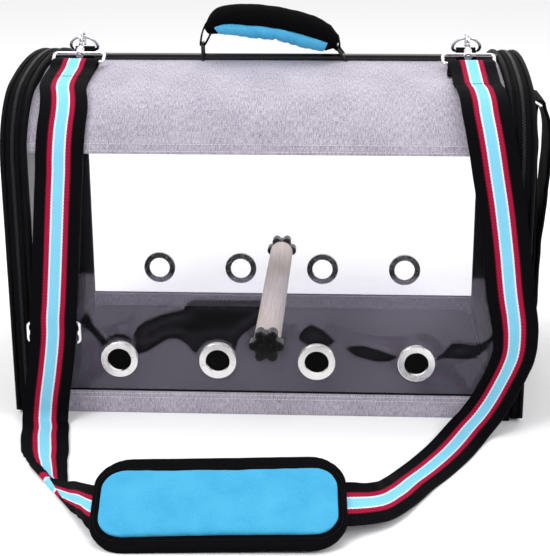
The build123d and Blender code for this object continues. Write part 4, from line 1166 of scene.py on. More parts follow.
        def place(u: Array, v: Array) -> Pair:
            """Lay the film on the arch with its slack and folds."""
            nonlocal depth
            x = -face.value * (u - 0.5) * 2 * self.reach
            run = low + v * (high - low)
            held = np.minimum(smooth(0, 22 * MM, run - low), smooth(0, 22 * MM, high - run))
            held = np.minimum(held, smooth(0, 14 * MM, self.reach - np.abs(x)))
            held = np.minimum(held, smooth(11 * MM, 24 * MM, np.hypot(x, run - self.perch_z)))
            for at, height in eyelets:
                held = np.minimum(held, smooth(16.5 * MM, 34 * MM, np.hypot(x - at, run - height)))
            # Depth inside the painted dark reflections; the back film's outlines are moved out of reach, so
            # the back film has none.
            depth = self.shadow(x, run) if face is Face.FRONT else self.shadow(-x, run) - 0.5
            slack = ripple(x, run, 110 * MM, 31 + face.value) * 1.1 * MM
            slack += ripple(x, run, 38 * MM, 41) * 0.22 * MM
            rim = np.exp(-(((depth - 1.5 * MM) / (3 * MM)) ** 2)) * 0.9 * MM
            lift = -self.film_gap + held * (slack + rim)
            y, z = COURSE.place(run, lift)
            return np.column_stack([x, -face.value * y, z]), np.column_stack([x, run, lift])

        obj = cloth(f"{face.word}_film", 228, 120, place)
        points = read_points(obj)
        # Painted reflection mask: the back film has half the haze, and the haze fades out near the top of the
        # window. It is taken out inside the painted dark reflections, with a hazier painted rim just inside
        # their edge.
        haze = (1.0 if face is Face.FRONT else 0.5) + 0.1 * ripple(points[:, 0], points[:, 2], 90 * MM, 51)
        haze *= 1 - 0.9 * smooth(119 * MM, 124 * MM, points[:, 2])
        haze *= 1 - 0.97 * smooth(-0.8 * MM, 0.8 * MM, depth)
        inner = np.exp(-(((depth - 7 * MM) / (3 * MM)) ** 2)) * (depth > 0)
        paint(obj, "haze", haze + 0.12 * inner)
        hole, pin = 12.5 * MM, 5 * MM

        def cut(c: Vector) -> bool:
            """Say whether a cell lies in an eyelet or behind the perch."""
            in_eyelet = any(math.hypot(c.x - x, c.z - z) < hole for x, z in eyelets)
            return in_eyelet or math.hypot(c.x, c.z - self.perch_z) < pin

        with editing(obj):
            pick(obj, "FACE", cut)
            bpy.ops.mesh.delete(type="FACE")
        dress(obj, FILM, "carrier", [f"{face.word}_window"], 60)

    def hem_strip(self, face: Face) -> None:
        """Sew the fabric hem under one window, with its rows of stitches and black edge."""

        def place(u: Array, v: Array) -> Pair:
            """Lay the hem flat, with rolled edges."""
            x = -face.value * (u - 0.5) * 2 * self.reach
            z = v * self.hem
            edge = np.minimum(smooth(0, 2 * MM, z), smooth(0, 1.2 * MM, self.hem - z))
            rows = self.drawn_in(z, self.hem_rows)
            wave = ripple(x, z * 0.4, 13 * MM, 61 + face.value)
            lift = (0.1 - 0.7 * (1 - edge) - 0.35 * rows + 0.22 * wave * edge) * MM
            return np.column_stack([x, face.value * (COURSE.half + lift), z]), np.column_stack([x, z, lift])

        obj = cloth(f"{face.word}_hem_cloth", 190, 14, place)
        modify(obj, "SOLIDIFY", thickness=self.cloth_thick, offset=-1.0)
        dress(obj, HEATHER, "carrier", [f"{face.word}_hem"], 60)
        for number, z in enumerate(self.hem_rows):
            self.seam_stitches(f"{face.word}_hem_row_{number + 1}", face, z, 0.15 * MM)
        edge = bead(f"{face.word}_film_edge", (2 * self.reach, 1.0 * MM, 1.5 * MM), 0.35 * MM)
        edge.location = (0, face.value * (COURSE.half - 0.3 * MM), self.hem + 0.6 * MM)
        dress(edge, BLACK_THREAD, "carrier")

    def floor(self) -> None:
        """Make the base cloth under the board and the felt mat on it."""

        def place(u: Array, v: Array) -> Pair:
            """Lay the base cloth flat, its outside down."""
            x, y = (0.5 - u) * 2 * self.reach, (v - 0.5) * 250.8 * MM
            lift = 0.12 * MM * ripple(x, y, 30 * MM, 71)
            return np.column_stack([x, y, 0.15 * MM + np.abs(lift)]), np.column_stack([x, y, lift])

        base = cloth("base_cloth", 76, 50, place)
        modify(base, "SOLIDIFY", thickness=1.3 * MM, offset=-1.0)
        dress(base, BINDING, "carrier", ["bottom_panel"])
        mat = block("felt_mat", (*self.mat, 3.9 * MM), (0, 0, self.mat_z))
        with editing(mat):
            pick(mat, "EDGE", lambda c: abs(c.z - self.mat_z) < 0.1 * MM)
            bpy.ops.mesh.bevel(offset=12 * MM, segments=8)
            pick(mat, "FACE", lambda c: c.z > 8.5 * MM)
            bpy.ops.mesh.inset(thickness=1.2 * MM)
            bpy.ops.mesh.inset(thickness=5 * MM)
        paint(mat, "lay", read_points(mat))
        modify(mat, "BEVEL", width=0.9 * MM, segments=3, limit_method="ANGLE", angle_limit=math.radians(60))
        dress(mat, FELT, "carrier", ["floor_mat"])


@dataclass
class EndBand:
    """Padded band round one end of the cabin, with its piping and the fixed half of the zip.

    Attributes:
        side: Which end.
        start: X of its inner edge.
        depth: Its width along X.
        height: Its thickness across the wall.
        sill: Height of its bottom bar.
        teeth_pitch: Distance from zip tooth to zip tooth.
    """

    side: Side
    start: float = 190 * MM
    depth: float = 10.5 * MM
    height: float = 8 * MM
    sill: float = 18 * MM
    teeth_pitch: float = 2.25 * MM

    def build(self) -> None:
        """Make the band, its piping and its half of the zip."""
        way, word = self.side.value, self.side.word
        profile = Profile(way * (self.start + self.depth / 2), 0, self.depth, self.height, 2.4 * MM, 4)
        band = COURSE.sweep(f"{word}_end_band", profile, 0)
        self.soften(band, 0.35 * MM, 5)
        band = join(band, self.bar(f"{word}_sill", 0, self.sill, COURSE.half - 3 * MM))
        dress(band, BINDING, "carrier", [f"{word}_band"])
        cord = (self.start + 1.8 * MM, 4.3 * MM, 1.2 * MM)
        self.piping(f"{word}_inner_cord", *cord, "carrier", f"{word}_inner_piping")
        self.zip_half(198.1 * MM, 200.05 * MM, 0.0, "carrier", f"{word}_zip_body_side")

    def soften(self, obj: Piece, amount: float, seed: int) -> None:
        """Give a sewn binding the slight uneven fullness of its padding."""
        points = read_points(obj)
        run, lift = COURSE.find(points[:, 1], points[:, 2])
        wave = ripple(points[:, 0], run, 22 * MM, seed + self.side.value) * amount
        y, z = COURSE.place(run, lift + np.where(lift > 0, wave, 0) * (np.abs(lift) > 2 * MM))
        write_points(obj, np.column_stack([points[:, 0], y, np.maximum(z, 0)]))

    def bar(self, name: str, low: float, high: float, half: float) -> Piece:
        """Make a padded bar across the bottom of the end, as deep as the arch above it.

        Args:
            name: Name of the bar.
            low: Height of its bottom.
            high: Height of its top.
            half: Half of its length along Y.

        Returns:
            The bar with its cloth coordinates.
        """
        middle = (self.side.value * (self.start + self.depth / 2), 0, (low + high) / 2)
        obj = block(name, (self.depth, 2 * half, high - low), middle)
        with editing(obj):
            bpy.ops.mesh.bevel(offset=2.2 * MM, segments=4)
        points = read_points(obj)
        paint(obj, "lay", np.column_stack([points[:, 0] + points[:, 2], points[:, 1], points[:, 2] * 0]))
        return obj

    def piping(self, name: str, x: float, lift: float, foot: float, body: str, node: str) -> None:
        """Run a corded piping along the arch at an X, a lift and from a foot's height."""
        profile = Profile(self.side.value * x, lift, 3.6 * MM, 3.6 * MM, 1.79 * MM, 4)
        cord = COURSE.sweep(name, profile, foot, 5 * MM)
        self.soften(cord, 0.12 * MM, 9)
        dress(cord, PIPING, body, [node], 60)

    def zip_half(self, tape_x: float, teeth_x: float, shift: float, body: str, node: str) -> None:
        """Make one half of the zip: its woven tape and its row of coil teeth.

        Args:
            tape_x: X of the middle of the tape.
            teeth_x: X of the middle of the teeth.
            shift: Share of a pitch that the row is moved by.
            body: Body that it moves with.
            node: CAD node that it stands for.
        """
        way = self.side.value
        profile = Profile(way * tape_x, 4.35 * MM, 4.8 * MM, 0.9 * MM, 0.3 * MM, 2)
        tape = COURSE.sweep(f"{node}_tape", profile, self.sill)
        dress(tape, TAPE, body, [node])
        foot = self.sill + 0.8 * MM
        count = int((COURSE.length - 2 * foot) / self.teeth_pitch)
        tooth = bead(f"{node}_teeth", (1.75 * MM, 0.95 * MM, 1.35 * MM), 0.32 * MM)
        tooth.location = (way * teeth_x, -5.15 * MM, foot + shift * self.teeth_pitch)
        settle(tooth)
        dress(COURSE.wrap(row(tooth, count, (0, 0, self.teeth_pitch))), COIL, body)


@dataclass
class ZipDoor(EndBand):
    """Zipped end panel: its padded rim, net window, piping and the moving half of the zip.

    Attributes:
        start: X of the inner face of its rim.
        depth: Width of its rim along X.
        foot: Height of its bottom.
        rim: Thickness of its rim across the wall.
        bar_top: Height of the bottom bar of the rim.
        border: Width of the fabric border inside the rim.
        border_x: X of the border and the net.
    """

    start: float = 200.8 * MM
    depth: float = 8.2 * MM
    foot: float = 2 * MM
    rim: float = 14 * MM
    bar_top: float = 18.4 * MM
    border: float = 32 * MM
    border_x: float = 206 * MM

    def build(self) -> None:
        """Make the rim, piping, zip half, border and net."""
        way, word = self.side.value, self.side.word
        body = f"{word}_door"
        profile = Profile(way * (self.start + self.depth / 2), -3 * MM, self.depth, self.rim, 2.6 * MM, 4)
        rim = COURSE.sweep(f"{word}_rim_binding", profile, self.foot)
        self.soften(rim, 0.3 * MM, 15)
        rim = join(rim, self.bar(f"{word}_rim_bar", self.foot, self.bar_top, 122 * MM))
        dress(rim, BINDING, body, [f"{word}_door_rim"])
        self.piping(f"{word}_outer_cord", 209 * MM, 4 * MM, 3.2 * MM, body, f"{word}_outer_piping")
        self.zip_half(203.2 * MM, 201.25 * MM, 0.5, body, f"{word}_zip_door_side")
        self.panel(body)
        self.net(body)

    def outline(self, lift: float, low: float, count: int = 150) -> Array:
        """Closed outline in Y and Z at a lift inside the arch, with its bottom at a height."""
        run = np.linspace(low, COURSE.length - low, count)
        y, z = COURSE.place(run, np.full(count, lift))
        across = np.linspace(y[-1], y[0], 42)[1:]
        return np.vstack([np.column_stack([y, z]), np.column_stack([across, np.full(41, low)])])

    def panel(self, body: str) -> None:
        """Sew the fabric border round the net window, with its two rows of stitches."""
        way, word = self.side.value, self.side.word
        outer = self.outline(-10 * MM, self.bar_top)
        inner = self.outline(-10 * MM - self.border, self.bar_top + self.border)
        rings = len(outer) - 1
        shares = (0.86, 0.95)

        def place(u: Array, v: Array) -> Pair:
            """Lay the border between its two outlines, a little full between the seams."""
            i = np.rint(v * rings).astype(int)
            yz = outer[i] * (1 - u)[:, None] + inner[i] * u[:, None]
            full = 4 * u * (1 - u)
            rows = sum(np.exp(-(((u - share) / 0.02) ** 2)) for share in shares)
            x = self.border_x + (0.9 + 0.9 * full - 0.4 * rows) * MM
            x += 0.3 * MM * full * ripple(yz[:, 0], yz[:, 1], 40 * MM, 81)
            return np.column_stack([way * x, yz]), np.column_stack([yz, x])

        obj = cloth(f"{word}_door_border", 18, rings, place)
        with editing(obj):
            bpy.ops.mesh.remove_doubles(threshold=0.01 * MM)
            turn_out()
        if (obj.data.polygons[0].normal.x > 0) != (way > 0):
            obj.data.flip_normals()
        modify(obj, "SOLIDIFY", thickness=1.9 * MM, offset=-1.0)
        dress(obj, BINDING, body, [f"{word}_door_panel"])
        out, stitch = np.array([float(way), 0.0, 0.0]), (2.6 * MM, 0.5 * MM, 0.4 * MM)
        for number, share in enumerate(shares):
            line = outer * (1 - share) + inner * share
            points = np.column_stack([np.full(len(line), way * (self.border_x + 1.25 * MM)), line])
            dress(stitch_line(f"{word}_border_row_{number + 1}", points, out, stitch), BLACK_THREAD, body)

    def net(self, body: str) -> None:
        """Stretch the net across the window of the door."""
        way, word = self.side.value, self.side.word

        def place(u: Array, v: Array) -> Pair:
            """Lay the net flat with a slight belly."""
            y, z = way * (u - 0.5) * 176 * MM, (46 + v * 194) * MM
            belly = np.clip(1 - (y / (88 * MM)) ** 2, 0, 1) * np.sin(np.pi * v)
            x = self.border_x + 1.6 * MM * belly
            return np.column_stack([way * x, y, z]), np.column_stack([y, z, 0 * z])

        obj = cloth(f"{word}_net", 44, 48, place)

        def hidden(centre: Vector) -> bool:
            """Say whether a cell lies under the border."""
            _, lift = COURSE.find(np.array(centre.y), np.array(centre.z))
            return float(lift) > -39 * MM or centre.z < 47 * MM

        with editing(obj):
            pick(obj, "FACE", hidden)
            bpy.ops.mesh.delete(type="FACE")
        dress(obj, NET, body, [f"{word}_door_mesh"])


# ---------------------------------------------------------------- straps
def round_two(first: Point, wide: float, second: Point, narrow: float, steps: int = 10) -> list[Point]:
    """Line of a strip drawn tight round two bars.

    Args:
        first: Middle of the first bar.
        wide: Radius of the strip round it.
        second: Middle of the second bar.
        narrow: Radius round that.
        steps: Steps of each bend.

    Returns:
        Closed line, its last point on its first.
    """
    gap = math.dist(first, second)
    turn = math.atan2(second[1] - first[1], second[0] - first[0])
    open_by = math.acos((wide - narrow) / gap)
    bends = (
        (first, wide, turn + open_by, turn + 2 * math.pi - open_by),
        (second, narrow, turn - open_by, turn + open_by),
    )
    made = []
    for (x, y), radius, start, stop in bends:
        for step in range(steps + 1):
            angle = start + (stop - start) * step / steps
            made.append((x + radius * math.cos(angle), y + radius * math.sin(angle)))
    return [*made, made[0]]


@dataclass
class ShoulderStrap:
    """Striped webbing from eye to eye, with its adjuster loop, its fold on the ground and the pad on it.

    Attributes:
        width: Width of the webbing in millimetres.
        thickness: Its thickness in millimetres.
        hook_x: X of both hooks in millimetres.
        eye: Y and Z of the strap bar of each eye, in millimetres.
        glide: X, Y and Z of the adjuster's middle bar, in millimetres.
        under: Lift of the lower layer on the roof, in millimetres.
        over: Lift of the upper layer, in millimetres.
    """

    width: float = 38.0
    thickness: float = 1.6
    hook_x: float = 164.0
    eye: Point = (-33.0, 278.9)
    glide: Spot = (-173.5, -138.25, 75.0)
    under: float = 1.0
    over: float = 2.9

    def build(self) -> None:
        """Make the webbing and its sewn ends."""
        ribbon = Ribbon(self.width, self.thickness)
        self.left_side(ribbon)
        self.ground(ribbon)
        self.right_side(ribbon)
        strap = ribbon.build("striped_strap", 2.6, 10)
        points = read_points(strap)
        points[:, 2] = np.maximum(points[:, 2], 0.3 * MM)
        write_points(strap, points)
        dress(strap, STRIPES, "carrier", ["shoulder_strap"], 50)
        self.sewn_end("left_strap_seam", -self.hook_x, 11.5)
        self.sewn_end("right_strap_seam", self.hook_x, 13.5)

    def sewn_end(self, name: str, x: float, turn: float) -> None:
        """Sew one row of black stitches across the webbing on the roof."""
        angle, middle = math.radians(turn), COURSE.over(turn, self.over + 0.9)
        ends = np.array([[x - 17.5, *middle], [x + 17.5, *middle]]) * MM
        out = np.array([0.0, -math.sin(angle), math.cos(angle)])
        dress(stitch_line(name, ends, out, (2.2 * MM, 0.6 * MM, 0.5 * MM)), BLACK_THREAD, "carrier")

    def left_side(self, ribbon: Ribbon) -> None:
        """Lay the short tail, the doubled part over the roof and the run down to the ground."""
        x, y, z = self.glide
        turns = (8, 11, 14, 20, 28, 37, 46, 55, 64, 73, 82, 90)
        ribbon.to(x, y + 2.35, z + 16)
        ribbon.round_bar(x, y, z, 2.35, 0, -180)
        ribbon.through((-172.7, -140.6, 90), (-171.7, -139.7, 100), (-170.3, -137.1, 120))
        ribbon.through((-168, -134.1, 153), (-165.5, -130.7, 190))
        for turn in turns[::-1]:
            ribbon.arch(self.left_x(turn), turn, self.under)
        ribbon.round_bar(-self.hook_x - 1.6, *self.eye, 2.55, -90, 90)
        for turn in turns:
            ribbon.arch(self.left_x(turn), turn, self.over)
        ribbon.through((-165.5, -132.6, 190), (-168, -136, 153), (-170.3, -139, 120), (-171.7, -141.6, 100))
        ribbon.through((-172.7, -142.6, 90), (x, -142.5, z), (-177.2, -145, 44), (-181.2, -147, 18))
        ribbon.through((-182.2, -148.5, 8))

    def left_x(self, turn: float) -> float:
        """X of the left strap on the roof in millimetres, by the angle of the arch in degrees."""
        drift = 3.4 * math.exp(-(((turn - 15) / 14) ** 2))
        return -self.hook_x + 2 * min(turn / 45, 1) - 2.2 * max(turn / 45 - 1, 0) - drift

    def ground(self, ribbon: Ribbon) -> None:
        """Lay the part in front of the cabin: out, over its diagonal fold and under the pad."""
        ribbon.through((-182, -152.5, 2.6), (-180, -160, 1.1, 6), (-177, -178, 1.1, 12))
        ribbon.through((-171.5, -203, 1.1, 3), (-168, -219, 1.1, -15, 0, 38), (-164.4, -231, 1.1, -31, 0, 43))
        ribbon.through((-160, -246.5, 1.1, -44, 0, 52))
        left, right = np.array([-177.0, -234.0]), np.array([-131.0, -306.5])
        turn = math.degrees(math.atan2(*(right - left)[::-1]))
        outward, radius, long = heading(turn - 90)[:2], 1.15, math.dist(left, right)
        for degrees in range(-90, 91, 30):
            angle = math.radians(degrees)
            spot = (left + right) / 2 + outward * (radius * (math.cos(angle) - 1) - self.thickness / 2)
            ribbon.to(*spot, 1.1 + radius * (1 + math.sin(angle)), turn, 0, long)
        ribbon.through((-141.5, -286.3, 4.6, -62.5, 0, 58), (-132.5, -296.5, 7, -69, -5, 46))
        ribbon.through((-123.8, -308, 11.2, -77, -14, 40))
        for along in (-88, -60, 0, 60, 88):
            spot = PAD.spot(np.array([[along, 0, -1.1]]))[0] / MM
            ribbon.to(*spot, PAD.turn - 90, -PAD.tilt)
        ribbon.through((88, -303, 12, -72, -18), (103, -276, 5.5, -55, -8), (116.3, -247, 1.6, -41))
        ribbon.through((128.1, -227.6, 1.1, -34), (138.3, -209.8, 1.1, -30), (148, -191, 1.1, -27))
        ribbon.through((156.5, -172.4, 1.3, -27), (165, -157.5, 4.5, -33))

    def right_side(self, ribbon: Ribbon) -> None:
        """Raise the webbing off the ground, up the right of the window and over the roof to its eye."""
        ribbon.through((174, -150, 12, -40), (183, -146.5, 25, -44), (189.3, -145.5, 37.6, -45))
        ribbon.through((195, -144.5, 50.3, -43), (199, -143.8, 62.9, -38), (199.8, -143, 75.4, -30))
        ribbon.through((198.5, -142, 92, -17), (195.5, -141, 108.5, -7), (190, -138.8, 149.4))
        ribbon.through((183.8, -137, 189.4))
        for stop in (
            (180, 90, 8), (177, 75, 8), (174, 60, 8), (171.8, 48, 8), (170.8, 37, 7.5), (169.8, 28, 6),
            (168.8, 20, 4.5), (167.8, 14.5, 3.3), (166.9, 10, 2.9),
        ):
            ribbon.arch(*stop)
        ribbon.round_bar(self.hook_x + 1.6, *self.eye, 2.55, 90, -90)
        for turn in (8, 9.4):
            ribbon.arch(self.hook_x, turn, self.under)


@dataclass
class Tabs:
    """Short webbing tabs that hold the strap rings, and the folded webbing on the right door.

    Attributes:
        ring_width: Width of the tabs under the strap rings, in millimetres.
        hook_x: X of those tabs, in millimetres.
        belt_width: Width of the webbing on the door, in millimetres.
        belt_thick: Its thickness, in millimetres.
    """

    ring_width: float = 16.5
    hook_x: float = 164.0
    belt_width: float = 50.0
    belt_thick: float = 3.0

    def build(self) -> None:
        """Make every tab and the folded webbing."""
        pair = []
        for side in Side:
            ribbon = Ribbon(self.ring_width, 1.4)
            for y, z in round_two((0, 278.8), 4.15, (3.0, 284.5), 2.15):
                ribbon.to(side.value * self.hook_x, y, max(z, 277.4))
            pair.append(ribbon.build(f"{side.word}_ring_tab", 1.0, 6))
        tabs = join(*pair)
        tabs.name = "ring_tab_webbing"
        dress(tabs, BLACK_WEB, "carrier", ["strap_ring_tabs"])
        self.belt()

    def belt(self) -> None:
        """Hang the folded webbing from its ring and sew the tab of the ring to the door."""
        ribbon = Ribbon(self.belt_width, self.belt_thick)
        bend = [(226.5 - 3.0 * math.cos(a), 243 + 3.0 * math.sin(a)) for a in np.radians(range(0, 181, 20))]
        up = ((227.3, 84), (227.6, 116), (226.3, 163), (224.6, 212))
        down = (
            (234.6, 228), (236.7, 212), (235.2, 163), (231.8, 113), (231.3, 61), (227, 36), (219, 21),
            (210.8, 15), (210.6, 7),
        )
        for x, z in (*up, *bend, *down):
            ribbon.to(x, 0, z, 90)
        belt = ribbon.build("door_belt", 2.6, 14)
        modify(belt, "BEVEL", width=0.9 * MM, segments=2, limit_method="ANGLE", angle_limit=math.radians(50))
        points = read_points(belt)
        points[:, 0] += 0.35 * MM * ripple(points[:, 1], points[:, 2], 30 * MM, 91)
        points[:, 0] = np.maximum(points[:, 0], 209.1 * MM)
        write_points(belt, points)
        dress(belt, BLACK_WEB, "right_door", ["belt_strap"])
        tab = Ribbon(self.belt_width, 1.5)
        for x, z in round_two((218.5, 247.5), 2.1, (208.6, 247.5), 5.6):
            tab.to(max(x, 207.8), 0, z, 90)
        strip = tab.build("belt_ring_tab", 1.5, 14)
        dress(strip, GREY_WEB, "right_door", ["belt_tab"])


# ---------------------------------------------------------------- padded pieces
@dataclass
class ShoulderPad:
    """Shoulder pad on the strap: a soft black base with a blue cushion sewn on it.

    Attributes:
        middle: Middle of its underside.
        tilt: How far its far long edge is raised, in degrees.
        turn: Turn about the vertical, in degrees.
        length: Length of its base.
        width: Width of its base.
        border: Black border round the cushion.
        forward: How far the cushion is sewn off the middle of the base.
    """

    middle: Spot = (-22.5 * MM, -321 * MM, 16.67 * MM)
    tilt: float = 24.0
    turn: float = 2.5
    length: float = 181 * MM
    width: float = 81 * MM
    border: float = 10 * MM
    forward: float = 3.5 * MM

    @property
    def cushion(self) -> Point:
        """Length and width of the cushion."""
        return self.length - 1.3 * self.border, self.width - 2.1 * self.border

    def spot(self, points: Array) -> Array:
        """Turn the pad's own coordinates into places of the cabin's frame.

        Args:
            points: Rows of along, across and up, in millimetres.

        Returns:
            Rows of X, Y and Z in metres.
        """
        rise, turn = math.radians(self.tilt), math.radians(self.turn)
        along = np.array([math.cos(turn), math.sin(turn), 0.0])
        across = np.array([-math.sin(turn), math.cos(turn), 0.0])
        # the pad is turned flat on the ground first, then its far edge is raised
        cos, sin = math.cos(rise), math.sin(rise)
        tipped = np.array([[1, 0, 0], [0, cos, -sin], [0, sin, cos]])
        flat = points[:, :1] * along + points[:, 1:2] * across + points[:, 2:] * np.array([0.0, 0.0, 1.0])
        return flat * MM @ tipped.T + np.array(self.middle)

    def build(self) -> None:
        """Make the base and the cushion, and the seam between them."""
        base_size = (self.length - 2 * MM, self.width + 1 * MM, 4.4 * MM)
        base = self.slab("pad_border", base_size, 26 * MM, 0.6 * MM)
        stuff(base, 2.2, 1.2 * MM)
        write_points(base, read_points(base) - (0, 1.5 * MM, 0))
        self.finish(base, PAD_CLOTH, ["pad_base"], 0.35, 0.2 * MM)
        cushion_size = (self.cushion[0] - 2 * MM, self.cushion[1] - 2 * MM, 3.2 * MM)
        cushion = self.slab("pad_cushion_cover", cushion_size, 17 * MM, 5.4 * MM)
        stuff(cushion, 3.0, 1.6 * MM)
        write_points(cushion, read_points(cushion) - (0, self.forward, 0))
        self.finish(cushion, BLUE, ["pad_cushion"], 0.7, 0.4 * MM)
        self.zip_row()

    def slab(self, name: str, size: Spot, corner: float, low: float) -> Piece:
        """Cut one slab of foam with round corners, flat on the origin.

        Args:
            name: Name of the piece.
            size: Its length, width and thickness.
            corner: Radius of its corners.
            low: Height of its underside.

        Returns:
            The slab.
        """
        length, width, thick = size
        obj = block(name, size, (0, 0, low + thick / 2))
        with editing(obj):
            pick(obj, "EDGE", lambda c: abs(abs(c.x) - length / 2) < MM and abs(abs(c.y) - width / 2) < MM)
            bpy.ops.mesh.bevel(offset=corner, segments=8)
            pick(obj, "FACE", lambda c: abs(c.z - low - thick / 2) > thick / 2 - 0.1 * MM)
            bpy.ops.mesh.inset(thickness=1.6 * MM)
            bpy.ops.transform.resize(value=(1, 1, 1.12), center_override=(0, 0, low + thick / 2))
        return obj

    def finish(self, obj: Piece, finish: Finish, nodes: list[str], fill: float, wave: float) -> None:
        """Give a stuffed piece its slight wrinkles, put it on the pad's plane and dress it."""
        points = read_points(obj)
        x, y, z = points.T
        half = (self.length / 2 - 10 * MM, self.width / 2 - 10 * MM)
        edge = smooth(0.55, 1.0, np.maximum(np.abs(x) / half[0], np.abs(y) / half[1]))
        z += wave * ripple(x, y, 26 * MM, 17) * (1 - 0.6 * edge)
        z += wave * 0.5 * edge * ripple(x, y, 11 * MM, 19) * (z > 6 * MM)
        corner = np.exp(-((x - 84 * MM) ** 2 + (y + 28 * MM) ** 2) / (22 * MM) ** 2)
        z += corner * wave * 0.9 * np.sin((x + y) / (4.2 * MM))
        paint(obj, "lay", points)
        points = self.spot(points / MM)
        points[:, 2] = np.maximum(points[:, 2], 0.3 * MM)
        write_points(obj, points)
        dress(obj, finish, "carrier", nodes, 80)

    def zip_row(self) -> None:
        """Sew the binding stitches between border and cushion."""
        length, width = self.cushion
        line = rounded(length + 3.6 * MM, width + 3.6 * MM, 18 * MM, 12)
        flat = np.array([(x, y - self.forward, 6.6 * MM) for x, y in (*line, line[0])])
        up = self.spot(np.array([[0.0, 0.0, 1000.0]]))[0] - np.array(self.middle)
        stitch = (2.4 * MM, 0.6 * MM, 0.5 * MM)
        sewn = stitch_line("pad_border_row", self.spot(flat / MM), up / np.linalg.norm(up), stitch)
        dress(sewn, BLACK_THREAD, "carrier")


PAD = ShoulderPad()


def stuff(obj: Piece, pressure: float, cap: float) -> None:
    """Fill a slab like a cushion with a cloth simulation, then smooth it once.

    Args:
        obj: Closed slab.
        pressure: Pressure of the filling.
        cap: Farthest that a point may move.
    """
    only(obj)
    obj.data.remesh_voxel_size = 1.5 * MM
    bpy.ops.object.voxel_remesh()
    before = read_points(obj)
    cover = obj.copy()
    cover.data = obj.data.copy()
    bpy.context.collection.objects.link(cover)
    only(cover)
    sim = cover.modifiers.new("filling", "CLOTH").settings
    sim.quality = 6
    sim.mass = 0.2
    sim.tension_stiffness = sim.compression_stiffness = 18
    sim.shear_stiffness = 8
    sim.bending_stiffness = 1.5
    sim.use_pressure = True
    sim.uniform_pressure_force = pressure
    sim.effector_weights.gravity = 0
    for step in range(1, 21):
        bpy.context.scene.frame_set(step)
    swollen = cover.evaluated_get(bpy.context.evaluated_depsgraph_get()).to_mesh()
    after = np.empty(len(before) * 3)
    swollen.vertices.foreach_get("co", after)
    after = after.reshape(-1, 3)
    bpy.data.objects.remove(cover)
    bpy.context.scene.frame_set(1)
    move = after - before
    far = np.linalg.norm(move, axis=1)
    write_points(obj, before + move * np.minimum(1, cap / np.maximum(far, 1e-9))[:, None])
    modify(obj, "CORRECTIVE_SMOOTH", factor=0.5, iterations=4, use_only_smooth=True)
    modify(obj, "SUBSURF", levels=1, render_levels=1)


